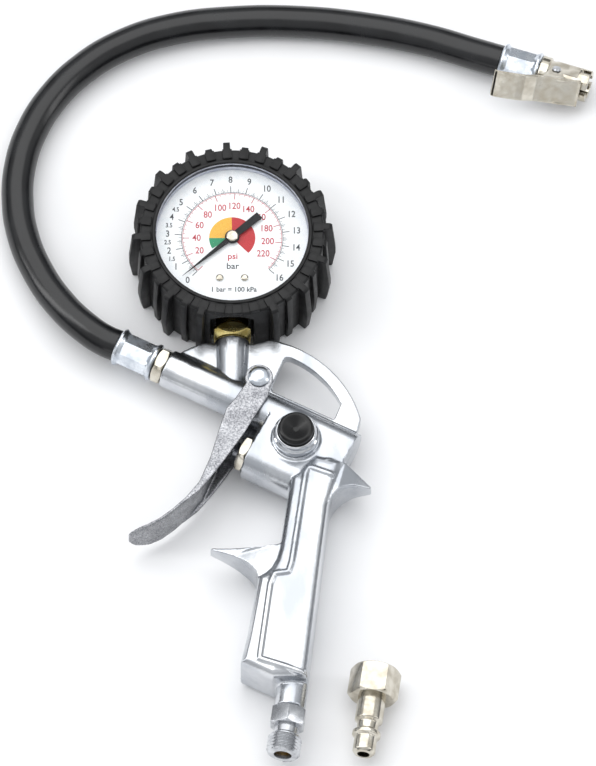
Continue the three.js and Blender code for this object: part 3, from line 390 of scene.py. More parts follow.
def delivered(tree, geometry, material):
    """The end of a geometry tree: its instances made real, painted and put out."""
    whole = add(tree, "GeometryNodeRealizeInstances", {"Geometry": geometry})
    painted = add(tree, "GeometryNodeSetMaterial", {"Geometry": whole.outputs[0], "Material": material})
    add(tree, "NodeGroupOutput", {"Geometry": painted.outputs[0]})
    return tree


def made_by(tree, name, place, **values):
    """The plain mesh that a geometry tree gives for these inputs, put in its place."""
    piece = linked(name, bpy.data.meshes.new(name))
    modifier = piece.modifiers.new("made", "NODES")
    modifier.node_group = tree
    for socket in tree.interface.items_tree:
        if socket.in_out == "INPUT":
            modifier[socket.identifier] = values[socket.name]
    settle(piece)
    piece.data.transform(place)
    return piece


def thread_tree():
    """A screw thread about local Z: a diamond bar swept along a helix, half sunk in the core."""
    tree, given = geometry_tree("screw_thread", Turns="Float", Radius="Float", Pitch="Float", Ridge="Float",
                                Material="Material")
    rise = add(tree, "ShaderNodeMath", {0: given["Turns"], 1: given["Pitch"]}, operation="MULTIPLY")
    helix = add(tree, "GeometryNodeCurveSpiral", {
        "Resolution": 48, "Rotations": given["Turns"], "Start Radius": given["Radius"],
        "End Radius": given["Radius"], "Height": rise.outputs[0]})
    level = add(tree, "GeometryNodeSetCurveNormal", {"Curve": helix.outputs[0]}, mode="Z_UP")
    ridge = add(tree, "GeometryNodeCurvePrimitiveCircle", {"Resolution": 4, "Radius": given["Ridge"]})
    swept = add(tree, "GeometryNodeCurveToMesh", {
        "Curve": level.outputs[0], "Profile Curve": ridge.outputs[0], "Fill Caps": True})
    return delivered(tree, swept.outputs[0], given["Material"])


def screw_thread(name, place, start, turns, radius, pitch, ridge, material):
    """The ridges of a thread round local X, from start on."""
    return made_by(THREAD, name, place @ Matrix.Translation((start, 0, 0)) @ FLAT @ IN_METRES, Turns=turns,
                   Radius=radius * MM, Pitch=pitch * MM, Ridge=ridge * MM, Material=material)


def joined(piece, *others):
    """Several meshes as one piece."""
    shell = bmesh.new()
    for part in (piece, *others):
        shell.from_mesh(part.data)
    shell.to_mesh(piece.data)
    shell.free()
    for part in others:
        bpy.data.objects.remove(part)
    return smooth(piece)


def dress(material, *nodes):
    """Gives nodes whose shape stays a material."""
    for node in nodes:
        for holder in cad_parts[node].material_slots:
            holder.material = material


# Inlet: a plated steel fitting with a quarter inch pipe thread, screwed into the neck of the grip.
# The hexagon shows a turned chamfer; a sintered brass strainer is pressed into its bore.
INLET = placed(23.77, -119.4, 0, -97.7)
INLET_FOOT = 4.3
INLET_NECK_R = 4.6
INLET_HEX = (13.3, 20.7)
INLET_FLATS = 12.7
INLET_WAIST_R = 4.75
INLET_BORE_R = 3.4
INLET_THREAD = (23.9, 32.5)
INLET_CORE_R = 5.95
PIPE_PITCH = 1.337
THREAD = thread_tree()
FLAT = Matrix.Rotation(math.radians(90), 4, "Y")  # turns local Z to local X
IN_METRES = Matrix.Scale(1 / MM, 4)  # back to metres in a frame that counts in millimetres


def plated_steel():
    """Zinc plated free-cutting steel: cool white metal, with faint turning marks and a soft gloss."""
    material, tree = blank("zinc_plated_turned_steel")
    clouds = blotches(tree, 3, 3)
    marks = blotches(tree, 0.4, 2)
    colour = tint(tree, clouds, "#b4b6ba", "#d6d8db")
    finish(tree, colour, between(tree, clouds, 0.3, 0.16), marks, 0.012, Metallic=1)
    return material


def sintered_bronze():
    """Pressed bronze beads, sintered: a dull golden grain."""
    material, tree = blank("sintered_bronze")
    beads = blotches(tree, 0.5, 1)
    colour = tint(tree, beads, "#6d5325", "#b08b45")
    finish(tree, colour, between(tree, beads, 0.6, 0.4), beads, 0.1, Metallic=1)
    return material


STEEL = plated_steel()
start, end = INLET_THREAD
fitting = turned("inlet_body", INLET, [
    (INLET_FOOT, INLET_BORE_R), (INLET_FOOT, INLET_NECK_R), (INLET_HEX[0] + 1, INLET_NECK_R),
    (INLET_HEX[1] - 1, INLET_WAIST_R), (start, INLET_WAIST_R), (start + 0.9, INLET_CORE_R),
    (end - 0.5, INLET_CORE_R), (end, 5.3), (end, INLET_BORE_R), (INLET_FOOT, INLET_BORE_R)], 64, 0.15)
hexagon = hex_bar("inlet_hexagon", INLET, *INLET_HEX, INLET_FLATS, 30)
combined(hexagon, rod("bore", INLET, 0, 40, 4), "DIFFERENCE")
combined(fitting, hexagon, "UNION")
ridges = screw_thread("inlet_thread", INLET, start + 1.3, 5.0, INLET_CORE_R, PIPE_PITCH, 0.63, STEEL)
fit(joined(fitting, ridges), STEEL, "gun", "steel", "inlet_fitting")
dress(sintered_bronze(), "inlet_filter")

# Valve: seat, poppet and spring go in from the front of the housing, and the packing nut holds them.
# The lever's screw pushes the chromed stem, which lifts the poppet off its seat.
ALONG = -26.8
VALVE_DROP = 19
BARREL = placed(0, 0, 0, ALONG)
VALVE = BARREL @ Matrix.Translation((0, -VALVE_DROP, 0))
NUT = (13.6, 17.2)
NUT_FLATS = 13
STEM_R = 3.1


def satin_nickel():
    """Nickel plate over turned brass: warm grey, nearly a mirror, with soft clouds in the plate."""
    material, tree = blank("nickel_plated_brass")
    clouds = blotches(tree, 4, 2)
    grain = blotches(tree, 0.3, 2)
    colour = tint(tree, clouds, "#b9b2a3", "#d8d3c7")
    finish(tree, colour, between(tree, clouds, 0.2, 0.11), grain, 0.01, Metallic=1)
    return material


def machined_brass():
    """Free-cutting brass as turned: gold with darker tool chatter, bright but not polished."""
    material, tree = blank("turned_free_cutting_brass")
    tarnish = blotches(tree, 5, 3)
    chatter = blotches(tree, 0.35, 2)
    colour = tint(tree, tarnish, "#b39b50", "#e8d896")
    finish(tree, colour, between(tree, tarnish, 0.34, 0.18), chatter, 0.02, Metallic=1)
    return material


def spring_wire():
    """Drawn spring steel with an oil-dark skin."""
    material, tree = blank("drawn_spring_wire")
    skin = blotches(tree, 0.8, 2)
    colour = tint(tree, skin, "#6c6e72", "#9a9ca0")
    finish(tree, colour, between(tree, skin, 0.42, 0.28), skin, 0.01, Metallic=1)
    return material


def nitrile():
    """Moulded nitrile rubber: black, with a dull bloom."""
    material, tree = blank("nitrile_rubber")
    bloom = blotches(tree, 0.7, 3)
    finish(tree, tint(tree, bloom, "#0e0f10", "#1d1e20"), between(tree, bloom, 0.45, 0.65), bloom, 0.02)
    return material


def mirror_chrome():
    """Decorative chrome over nickel: a clear mirror with the faintest ripple from buffing."""
    material, tree = blank("decorative_chrome_plate")
    ripple = blotches(tree, 2.5, 2)
    colour = tint(tree, ripple, "#c6c9ce", "#dcdee1")
    finish(tree, colour, between(tree, ripple, 0.09, 0.05), ripple, 0.02, Metallic=1)
    return material


NICKEL, BRASS, RUBBER, CHROME = satin_nickel(), machined_brass(), nitrile(), mirror_chrome()
SPRING = spring_wire()
nut = hex_bar("packing_nut_hexagon", VALVE, *NUT, NUT_FLATS, 0, 0.9)
combined(nut, rod("shank", VALVE, NUT[1] - 1, 24, 5.2, 64), "UNION")
combined(nut, rod("bore", VALVE, 0, 40, STEM_R + 0.3), "DIFFERENCE")
combined(nut, rod("pocket", VALVE, 21.4, 26, STEM_R + 1.6), "DIFFERENCE")
fit(nut, NICKEL, "gun", "nickel_plate", "packing_nut")
stem = turned("chromed_stem", VALVE, [
    (10.75, 0), (10.75, STEM_R - 0.5), (11.25, STEM_R), (24.6, STEM_R), (25.2, 1.7), (30.3, 1.7),
    (30.3, 0)], 48, 0.2)
fit(stem, CHROME, "valve", "chrome_plate", "valve_stem")
dress(BRASS, "valve_seat", "valve_poppet")
dress(SPRING, "valve_spring")
dress(RUBBER, "stem_seal")

# Lever: one stamping of plated sheet steel, folded to a channel, whose web runs out as the finger plate.
# It turns on a rivet through the casting; a screw through its web, held by a nut, sets the free play.
UPRIGHT = Matrix.Rotation(math.radians(-90), 4, "Y")  # turns local X to local Z
RIVET_R = 4.2
RIVET_SHANK_R = 2.3
CHEEK_FACE = 9.4


def standing(point, height):
    """The frame at a point and a height, whose x axis is upright."""
    return IN_MM @ Matrix.Translation((point.x, point.y, height)) @ UPRIGHT


def tumbled_sheet():
    """Plated sheet steel after barrel tumbling: a grey grain of small dents, whose lighter specks are painted
    glints.
    """
    material, tree = blank("barrel_plated_sheet_steel")
    dents = blotches(tree, 0.55, 4)
    clouds = blotches(tree, 6, 2)
    # Dent grain over soft clouds sets the colour: partly the steel's own grain, partly painted glints where
    # the dents are lightened.
    grain_and_glints = add(tree, "ShaderNodeMath", {0: clouds, 1: 0.35, 2: dents}, operation="MULTIPLY_ADD")
    colour = tint(tree, grain_and_glints.outputs[0], "#6f7075", "#b9babd", 0.5, 0.86)
    finish(tree, colour, between(tree, clouds, 0.36, 0.24), dents, 0.07, Metallic=1)
    return material


lever = softened(merged_copy("trigger_lever", "stamped_lever"), 0.33, 5)
fit(lever, tumbled_sheet(), "trigger", "lever_sheet", "trigger_lever")
RIVET_AT = standing(middle(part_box("lever_rivet")), GUN_MID_Z)
rivet = turned("domed_rivet", RIVET_AT, [
    (-CHEEK_FACE - 1.2, 0), (-CHEEK_FACE - 1.2, 2.9), (-CHEEK_FACE, RIVET_R), (-CHEEK_FACE, RIVET_SHANK_R),
    (CHEEK_FACE, RIVET_SHANK_R), (CHEEK_FACE, RIVET_R), (CHEEK_FACE + 0.5, RIVET_R), (CHEEK_FACE + 1.3, 3.2),
    (CHEEK_FACE + 1.8, 1.9), (CHEEK_FACE + 2, 0)], 72, 0.25)


def bright_zinc():
    """Clear passivated zinc plate on soft steel: blue-white, satin, with paler clouds."""
    material, tree = blank("clear_passivated_zinc_plate")
    clouds = blotches(tree, 3.5, 3)
    grain = blotches(tree, 0.5, 3)
    colour = tint(tree, clouds, "#c3cad3", "#e6ebf1")
    finish(tree, colour, between(tree, clouds, 0.34, 0.22), grain, 0.02, Metallic=1)
    return material


ZINC = bright_zinc()
fit(rivet, ZINC, "gun", "zinc_plate", "lever_rivet")
screw = turned("play_screw", VALVE, [(4.4, 0), (4.4, 2), (9.4, 2), (10.1, 1.4), (10.4, 0)], 32, 0.1)
ridges = screw_thread("play_thread", VALVE, 4.9, 5.5, 2.02, 0.8, 0.38, STEEL)
fit(joined(screw, ridges), STEEL, "trigger", "steel", "adjusting_screw")
nut = hex_bar("play_nut", VALVE, 5.9, 8.1, 7.6, 30, 0.5)
combined(nut, rod("bore", VALVE, 0, 20, 2.6, 32), "DIFFERENCE")
fit(nut, STEEL, "trigger", "steel", "adjuster_lock_nut")

# Deflate button: a chromed collar screwed into the side boss, and a moulded cap on a sprung pin.
# The cap is dished for the thumb.
BUTTON_AT = standing(middle(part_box("deflate_button")), GUN_MID_Z)
COLLAR = (10, 16)
CAP_R = 6.85
CAP_TOP = 19


def gloss_moulding():
    """Injection moulded ABS from a polished tool: deep black and glossy, with a faint flow wave."""
    material, tree = blank("polished_abs_moulding")
    flow = blotches(tree, 5, 2)
    finish(tree, tint(tree, flow, "#040405", "#09090a"), between(tree, flow, 0.26, 0.32), flow, 0.01,
           Specular_IOR_Level=0.4)
    return material


low, high = COLLAR
collar = turned("button_collar", BUTTON_AT, [
    (low - 5.5, 2.4), (low - 5.5, 4.7), (low, 4.7), (low, 8.3), (low + 0.6, 8.85), (low + 3.3, 8.85),
    (low + 4, 7.9), (high - 0.5, 7.9), (high, 7.45), (high, CAP_R + 0.3), (low + 1.2, CAP_R + 0.3),
    (low + 1.2, 2.4), (low - 5.5, 2.4)], 96, 0.3)
fit(collar, CHROME, "gun", "chrome_plate", "deflate_collar")
cap = turned("button_cap", BUTTON_AT, [
    (13.5, 0), (13.5, CAP_R), (CAP_TOP - 0.9, CAP_R), (CAP_TOP, CAP_R - 1), (CAP_TOP - 0.3, CAP_R - 2),
    (CAP_TOP - 2.1, 0.9), (CAP_TOP - 2.1, 0)], 96, 0.5)
fit(cap, gloss_moulding(), "deflate", "button_plastic", "deflate_button")
dress(STEEL, "deflate_pin")
dress(SPRING, "deflate_spring")
dress(RUBBER, "deflate_seal")

# Hose ends: a nickelled barb with its hexagon at the gun, and a zinc plated sleeve over each end of the
# hose, squeezed by an eight-jawed crimper so that its middle is eight-sided between round flanges.
HEXAGON = (-32.3, -28.1)
SLEEVE = 16.2
CHUCK_SLEEVE = 15.2
SLEEVE_R = 6.7
FLANGE_R = 7.4
SLEEVE_BORE_R = 3.5
JAWS = 8
CHUCK = placed(104.1, 146.6, 7.6 - GUN_MID_Z, -18)


def crimped(along, radius, angle, start, end):
    """The radius of the crimped sleeve: eight flats between the flanges."""
    inside = min(max(min(along - start - 2.2, end - 2.2 - along) / 0.5, 0), 1)
    if radius < 4 or not inside:
        return radius
    pitch = 2 * math.pi / JAWS
    flat = radius * math.cos(pitch / 2) / math.cos((angle % pitch) - pitch / 2)
    return radius + (flat * 1.01 - radius) * inside


def sleeve(name, place, start, end):
    """A crimped sleeve along local X."""
    steps = [(start + 2.3 + 0.2 * k, SLEEVE_R) for k in range(int((end - start - 4.8) / 0.2) + 1)]
    profile = [(start, SLEEVE_BORE_R), (start, 6.9), (start + 0.5, FLANGE_R), (start + 1.1, FLANGE_R),
               (start + 1.9, 6.75), *steps, (end - 2, 6.75), (end - 1.2, FLANGE_R), (end - 0.5, FLANGE_R),
               (end, 6.9), (end, SLEEVE_BORE_R), (start, SLEEVE_BORE_R)]
    return turned(name, place, profile, 96, 0.0, lambda a, r, t: crimped(a, r, t, start, end))


barb = hex_bar("hose_hexagon", BARREL, *HEXAGON, 13, 0, 0.9)
tail = [(-48.2, 0), (-48.2, 3.2), (-29, 3.2), (-29, 4.9), (-15.8, 4.9), (-15.8, 0)]
combined(barb, turned("tail", BARREL, tail, 48), "UNION")
combined(barb, rod("bore", BARREL, -60, 0, 1.9, 32), "DIFFERENCE")
fit(barb, NICKEL, "gun", "nickel_plate", "hose_adapter")
end = HEXAGON[0] - 0.3
fit(sleeve("gun_sleeve", BARREL, end - SLEEVE, end), ZINC, "gun", "zinc_plate", "hose_ferrule")
chuck_sleeve = fit(sleeve("chuck_sleeve", CHUCK, 0, CHUCK_SLEEVE), ZINC, "gun", "zinc_plate", "chuck_ferrule")

# Chuck: a nickelled body with a slotted mouth for the tyre valve, a seal and a brass pin in it,
# and a spring clip on a cross pin; pressing the thumb plate lets its claw off the valve.
CLIP = CHUCK @ Matrix.Rotation(math.radians(56), 4, "X")
CLIP_HALF = 5.8
CLIP_SHEET = 0.8
CLIP_PIN = (22.3, 4.2)
CLIP_EAR_R = 2.6
CLIP_LINE = [(0.3, 15.9), (0.7, 16.7), (1.8, 16.95), (4, 16.5), (7, 15.75), (10, 14.95), (12.5, 14.1),
             (14.5, 12.9), (16.5, 11.8), (18.6, 11.15), (22, 10.2), (26, 9.05), (30, 7.85), (33, 6.95)]


def slab(name, place, outline, low, high):
    """A flat outline in local XZ pulled along local Y from low to high."""
    count = len(outline)
    verts = [(x, y, z) for y in (low, high) for x, z in outline]
    faces = [tuple(range(count)), tuple(range(2 * count - 1, count - 1, -1))]
    faces += [(i, (i + 1) % count, (i + 1) % count + count, i + count) for i in range(count)]
    return mesh_piece(name, place, verts, faces)


chuck_body = softened(merged_copy("chuck_body", "nickelled_chuck"), 0.2, 2)
fit(chuck_body, NICKEL, "gun", "nickel_plate", "chuck_body")
raised = [(x + 0.25, z + CLIP_SHEET) for x, z in CLIP_LINE]
clip = slab("spring_clip", CLIP, [*CLIP_LINE, *reversed(raised)], -CLIP_HALF, CLIP_HALF)
claw = [(32.1, 8), (32.1, 6.7), (33.1, 6.7), (33.1, 8)]
combined(clip, slab("claw", CLIP, claw, 1 - CLIP_HALF, CLIP_HALF - 1), "UNION")
px, pz = CLIP_PIN
bend = [math.pi * (1 + k / 12) for k in range(13)]
ear = [(px + CLIP_EAR_R * math.cos(a), pz + CLIP_EAR_R * math.sin(a)) for a in bend]
ear += [(px + 4.6, 9.9), (px - 3.6, 11.6)]
for inner in (CLIP_HALF - CLIP_SHEET, -CLIP_HALF):
    combined(clip, slab("ear", CLIP, ear, inner, inner + CLIP_SHEET), "UNION")
across = CLIP @ Matrix.Translation((px, 0, pz)) @ Matrix.Rotation(math.radians(90), 4, "Z")
combined(clip, rod("eye", across, -9, 9, 1.3, 32), "DIFFERENCE")
clip = fit(softened(clip, 0.2, 3), NICKEL, "clip", "nickel_plate", "clip_lever")
dress(STEEL, "clip_pin")
dress(BRASS, "core_pin")
dress(RUBBER, "chuck_seal")

# Gauge socket: a square brass bar with turned ends, screwed into the stem, that carries the whole gauge.
# The turned chamfers cut an arc into each face; above them are a groove and a round collar.
SOCKET = placed(0, 0, 0, 90)
SQUARE = (24.1, 29.6)
SQUARE_HALF = 7.1
bar = slab("brass_socket", SOCKET, [
    (SQUARE[0], -SQUARE_HALF), (SQUARE[1], -SQUARE_HALF), (SQUARE[1], SQUARE_HALF), (SQUARE[0], SQUARE_HALF)],
    -SQUARE_HALF, SQUARE_HALF)
foot, top = SQUARE
ends = [(foot, 0), (foot, 6.7), (foot + 2.3, 9.2), (top - 2.3, 9.2), (top, 6.7), (top, 0)]
combined(bar, turned("chamfers", SOCKET, ends, 96), "INTERSECT")
bevelled(bar, 0.15)
spine = [(12.4, 0), (12.4, 4.7), (foot + 1, 4.7), (foot + 1, 5.2), (30.3, 5.2), (30.3, 5.9), (32.4, 5.9),
         (32.4, 5.2), (33.4, 5.2), (33.4, 0)]
combined(bar, turned("spine", SOCKET, spine, 64, 0.12), "UNION")
block = [(32.95, -5.4), (43.85, -5.4), (43.85, 0.2), (32.95, 0.2)]
combined(bar, slab("block", SOCKET, block, -6.4, 6.4), "UNION")
fit(bar, BRASS, "gun", "brass", "gauge_socket")

# Gauge case and movement: an enamelled steel cup; in it a bent tube that unrolls with pressure, and
# the plates, toothed sector, arbor and hairspring that turn its small travel into the pointer's sweep.
def stoved_enamel():
    """Black stoving enamel on drawn steel: a soft gloss with orange peel."""
    material, tree = blank("black_stoving_enamel")
    peel = blotches(tree, 1.5, 2)
    finish(tree, tint(tree, peel, "#131415", "#1c1d1f"), between(tree, peel, 0.3, 0.4), peel, 0.04)
    return material


dress(stoved_enamel(), "gauge_case")
dress(BRASS, "bourdon_tube", "movement_back_plate", "movement_front_plate", "sector_gear")
dress(STEEL, "pinion_arbor")
dress(SPRING, "hairspring")

# Dial: an aluminium disc, stoved white and printed with a black bar scale, a red psi scale and a
# coloured sector, and held by two small domed screws.
GAUGE = IN_MM @ Matrix.Translation((GAUGE_CENTRE.x, GAUGE_CENTRE.y, 0))
DIAL_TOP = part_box("dial_plate")[1].z / MM
INK = 0.03
ZERO = 226.6  # degrees from +X to the zero mark
SWEEP = 270
BAR_FULL = 16
PSI_FULL = 232
CIRCLE_R = 19.3
TICKS_FROM = 19.5
BAR_NUMBERS_R = 24.9
PSI_NUMBERS_R = 13.7


def dial_enamel():
    """White stoving enamel: even and slightly cool, with the faintest peel."""
    material, tree = blank("white_dial_enamel")
    peel = blotches(tree, 2, 2)
    finish(tree, tint(tree, peel, "#eff3f5", "#f6f8f9"), between(tree, peel, 0.32, 0.4), peel, 0.01)
    return material


def ink(name, low, high):
    """Pad printed ink: thin and slightly uneven in strength."""
    material, tree = blank(name)
    cover = blotches(tree, 0.6, 2)
    finish(tree, tint(tree, cover, low, high), between(tree, cover, 0.4, 0.5), cover, 0.004)
    return material


def ring_tree():
    """Copies of a block on a circle about local Z, from a first angle in equal steps."""
    tree, given = geometry_tree("blocks_on_a_circle", Block="Object", Count="Int", First="Float",
                                Step="Float", Radius="Float", Material="Material")
    index = add(tree, "GeometryNodeInputIndex")
    turn = add(tree, "ShaderNodeMath", {0: index.outputs[0], 1: given["Step"], 2: given["First"]},
               operation="MULTIPLY_ADD")
    across = add(tree, "ShaderNodeMath", {0: turn.outputs[0]}, operation="COSINE")
    up = add(tree, "ShaderNodeMath", {0: turn.outputs[0]}, operation="SINE")
    ray = add(tree, "ShaderNodeCombineXYZ", {"X": across.outputs[0], "Y": up.outputs[0]})
    spot = add(tree, "ShaderNodeVectorMath", {0: ray.outputs[0], "Scale": given["Radius"]}, operation="SCALE")
    points = add(tree, "GeometryNodePoints", {"Count": given["Count"], "Position": spot.outputs[0]})
    block = add(tree, "GeometryNodeObjectInfo", {"Object": given["Block"], "As Instance": True})
    heading = add(tree, "ShaderNodeCombineXYZ", {"Z": turn.outputs[0]})
    copies = add(tree, "GeometryNodeInstanceOnPoints", {
        "Points": points.outputs[0], "Instance": block.outputs["Geometry"], "Rotation": heading.outputs[0]})
    return delivered(tree, copies.outputs[0], given["Material"])


RING = ring_tree()


def on_circle(name, place, block, material, count, first, step, radius=0.0):
    """Copies of a block on a circle; the block is used up. Angles are in degrees."""
    made = made_by(RING, name, place @ IN_METRES, Block=block, Count=count, First=math.radians(first),
                   Step=math.radians(step), Radius=radius * MM, Material=material)
    bpy.data.objects.remove(block)
    return made


PRINT = GAUGE @ Matrix.Translation((0, 0, DIAL_TOP))
BLACK_INK = ink("black_dial_ink", "#26292e", "#3a3d43")
RED_INK = ink("red_dial_ink", "#ad2132", "#c23a49")


def tick(low, high, width):
    """A printed stroke along local X, from one radius to another."""
    half = width / 2
    return slab("tick", IN_MM, [(low, 0), (high, 0), (high, INK), (low, INK)], -half, half)


def sector(name, place, inner, outer, start, end):
    """A printed ring or sector between two radii, from one angle to another in degrees."""
    steps = max(2, int(abs(end - start) / 2))
    angles = [math.radians(start + (end - start) * k / steps) for k in range(steps + 1)]
    rim = [(r * math.cos(a), r * math.sin(a), z) for a in angles for r, z in (
        (inner, 0), (outer, 0), (outer, INK), (inner, INK))]
    faces = [(0, 1, 2, 3), (4 * steps + 3, 4 * steps + 2, 4 * steps + 1, 4 * steps)]
    faces += [(4 * k + i, 4 * k + 4 + i, 4 * k + 4 + (i + 1) % 4, 4 * k + (i + 1) % 4)
              for k in range(steps) for i in range(4)]
    return mesh_piece(name, place, rim, faces)


def printed(words, size, x, y, wide=1.0):
    """Words as a thin solid, centred on a point of the dial."""
    curve = bpy.data.curves.new("words", "FONT")
    curve.body = words
    curve.size = size
    curve.align_x = "CENTER"
    curve.align_y = "CENTER"
    curve.extrude = INK / 2
    curve.offset = 0.05
    curve.resolution_u = 3
    text = linked("words", curve)
    bpy.context.view_layer.update()
    mesh = taken_mesh(text)
    mesh.transform(PRINT @ Matrix.Translation((x, y, INK / 2)) @ Matrix.Diagonal((wide, 1, 1, 1)))
    return linked("words", mesh)


def scale_marks(name, full, step, low, high, width, material):
    """One rank of strokes of a scale, from zero to full."""
    count = int(full / step + 1.001)
    return on_circle(name, PRINT, tick(low, high, width), material, count, ZERO, -SWEEP * step / full)


def round_dial(value, full, radius):
    """The point of the dial at a value of a scale and a radius."""
    angle = math.radians(ZERO - SWEEP * value / full)
    return radius * math.cos(angle), radius * math.sin(angle)


black = [
    scale_marks("bar_marks", BAR_FULL, 1, TICKS_FROM, 22.2, 0.3, BLACK_INK),
    scale_marks("bar_halves", BAR_FULL, 0.5, TICKS_FROM, 21.2, 0.2, BLACK_INK),
    scale_marks("bar_tenths", BAR_FULL, 0.2, TICKS_FROM, 20.6, 0.13, BLACK_INK),
    sector("bar_circle", PRINT, CIRCLE_R + 0.12, CIRCLE_R + 0.34, ZERO, ZERO - SWEEP),
    *[printed(str(n), 3.8, *round_dial(n, BAR_FULL, BAR_NUMBERS_R), 0.85) for n in range(BAR_FULL + 1)],
    *[printed(f"{n}.5", 2.6, *round_dial(n + 0.5, BAR_FULL, BAR_NUMBERS_R), 0.85) for n in range(1, 5)],
    printed("bar", 3.7, 0.2, -12.1),
    printed("1 bar = 100 kPa", 2.9, 0.6, -22.1, 0.95),
]
fit(joined(*black), BLACK_INK, "gun", "dial_white")
red = [
    scale_marks("psi_marks", PSI_FULL, 20, 16.6, 19.1, 0.3, RED_INK),
    on_circle("psi_fives", PRINT, tick(18.2, 19.1, 0.16), RED_INK, 47, ZERO, -SWEEP * 5 / PSI_FULL),
    sector("psi_circle", PRINT, CIRCLE_R - 0.34, CIRCLE_R - 0.12, ZERO, ZERO - SWEEP),
    *[printed(str(n), 3.9, *round_dial(n, PSI_FULL, PSI_NUMBERS_R), 0.85) for n in range(20, 221, 20)],
    printed("psi", 3.6, 0.2, -7.9),
]
fit(joined(*red), RED_INK, "gun", "dial_white")
for name, low, high, codes in (
    ("green_sector", 210, 180, ("#078558", "#0c9162")),
    ("yellow_sector", 180, 91.6, ("#e5a92c", "#edb842")),
    ("red_sector", 91.6, -46, ("#b50e1a", "#c11a25")),
):
    field = sector(name, PRINT, 1.6, 8.9, low, high)
    fit(field, ink("ink_" + name, *codes), "gun", "dial_white")
dress(dial_enamel(), "dial_plate")
for side in ("left", "right"):
    at = standing(middle(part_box("dial_screw_" + side)), 0)
    dome = [(21.4, 0), (21.4, 0.7), (26, 0.7), (26, 1.5), (26.35, 1.35), (26.65, 0.9), (26.8, 0)]
    fit(turned("dial_dome_" + side, at, dome, 40, 0.12), NICKEL, "gun", "screw_nickel", "dial_screw_" + side)

# Pointer: a blanked strip with a broad tail that balances it, sprayed matt black, pressed on the arbor
# and covered by a nickelled hub.
def matt_paint():
    """Matt black lacquer with a fine spray grain."""
    material, tree = blank("matt_black_lacquer")
    spray = blotches(tree, 0.25, 2)
    finish(tree, tint(tree, spray, "#08090b", "#0f1013"), between(tree, spray, 0.5, 0.6), spray, 0.01,
           Specular_IOR_Level=0.25)
    return material


dress(matt_paint(), "pointer")
HUB_AT = GAUGE @ UPRIGHT
boss = [(27.4, 0), (27.4, 2.3), (27.95, 2.3), (28.2, 1.9), (28.15, 0.6), (28.05, 0)]
hub = turned("pointer_boss", HUB_AT, boss, 64, 0.12)
fit(hub, NICKEL, "needle", "screw_nickel", "pointer_hub")

# Window: a clear acrylic disc between two plated rings, one under it as a wall and one over its edge.
# The rings are rolled from steel strip, and the boot's lip holds the whole in place.
def clear_acrylic():
    """Cast acrylic: all but invisible, with a thin gloss."""
    material, tree = blank("clear_acrylic_window")
    haze = blotches(tree, 12, 2)
    constants = {"Base Color": linear("#f4f7f9"), "Roughness": between(tree, haze, 0.02, 0.05),
                 "IOR": 1.49, "Specular IOR Level": 0.05, "Alpha": 0.01}
    shader = add(tree, "ShaderNodeBsdfPrincipled", constants)
    add(tree, "ShaderNodeOutputMaterial", {"Surface": shader.outputs[0]})
    return material


def ring_plate():
    """Satin nickel on a rolled steel ring: grey-blue, with rolling streaks."""
    material, tree = blank("satin_plated_ring")
    streaks = blotches(tree, 3, 3, (1, 1, 4))
    colour = tint(tree, streaks, "#b4b8c6", "#d4d6de")
    finish(tree, colour, between(tree, streaks, 0.5, 0.4), streaks, 0.01, Metallic=1)
    return material


dress(clear_acrylic(), "lens")
PLATE = ring_plate()
wall = turned("window_wall", HUB_AT, [(26, 29.2), (26, 30), (28.3, 30), (28.3, 29.2), (26, 29.2)], 128)
fit(wall, PLATE, "gun", "bright_trim", "spacer_ring")
edge = [(30.2, 29.25), (30.2, 31.1), (30.8, 31.1), (30.8, 29.4), (30.6, 29.2), (30.2, 29.25)]
rim = turned("window_rim", HUB_AT, edge, 128)
fit(rim, PLATE, "gun", "bright_trim", "bezel_ring")

# Boot: a moulded rubber tyre round the gauge, with tall and short tread blocks in turn that wrap on to
# the front face as pads, a smooth lip round the window and an arched notch for the socket.
BLOCKS = 32
FIRST_BLOCK = 93.4
BLOCK_STEP = 360 / BLOCKS
TALL_R = 39.8
TALL_FALL = 1.2
SHORT_R = 37.4
SHORT_FALL = 0.7
BLOCK_WIDE = 2.6
PAD_WIDE = 3.7
WALL_R = 35.5
FRONT = 32
NOTCH_HALF = 8.4
NOTCH_TOP = 29.3
NOTCH_DROP = 4.5


def moulded_boot():
    """Moulded EPDM: dull black with a grey bloom and a fine eroded texture."""
    material, tree = blank("textured_epdm_moulding")
    bloom = blotches(tree, 5, 4)
    erosion = blotches(tree, 0.35, 2)
    finish(tree, tint(tree, bloom, "#0c0c0d", "#161617"), between(tree, bloom, 0.5, 0.4), erosion, 0.03,
           Specular_IOR_Level=0.35)
    return material


BOOT = moulded_boot()


def tread(name, reach, fall):
    """One tread block: a pad on the front face, then down the outside, widest at the middle."""
    side = [(31.2, 30.2), (31.2, FRONT - 0.3), (31.5, FRONT), (reach - fall - 1, FRONT - 0.2),
            (reach - fall, FRONT - 1.1), (reach, 15), (reach, 11), (reach - fall, 0.6),
            (reach - fall - 0.6, 0.1), (34, 0.1), (34, 30.2)]
    half = BLOCK_WIDE / 2
    return bevelled(slab(name, IN_MM, side, -half, half), 0.3)


tyre = [(0, 24), (0, 34.6), (0.9, WALL_R), (30.3, WALL_R), (31, 34.8), (31, 31), (31.7, 30.7), (31.7, 29.8),
        (31.4, 29.4), (31.1, 29.4), (31.1, 31.5), (1.8, 31.5), (1.8, 24), (0, 24)]
boot = turned("rubber_tyre", HUB_AT, tyre, 192, 0.25)
arch = [(-NOTCH_HALF, -1), (NOTCH_HALF, -1)]
arch += [(NOTCH_HALF * (1 - k / 8), NOTCH_TOP - NOTCH_DROP * (1 - k / 8) ** 2) for k in range(17)]
combined(boot, slab("notch", GAUGE, arch, -45, -25), "DIFFERENCE")
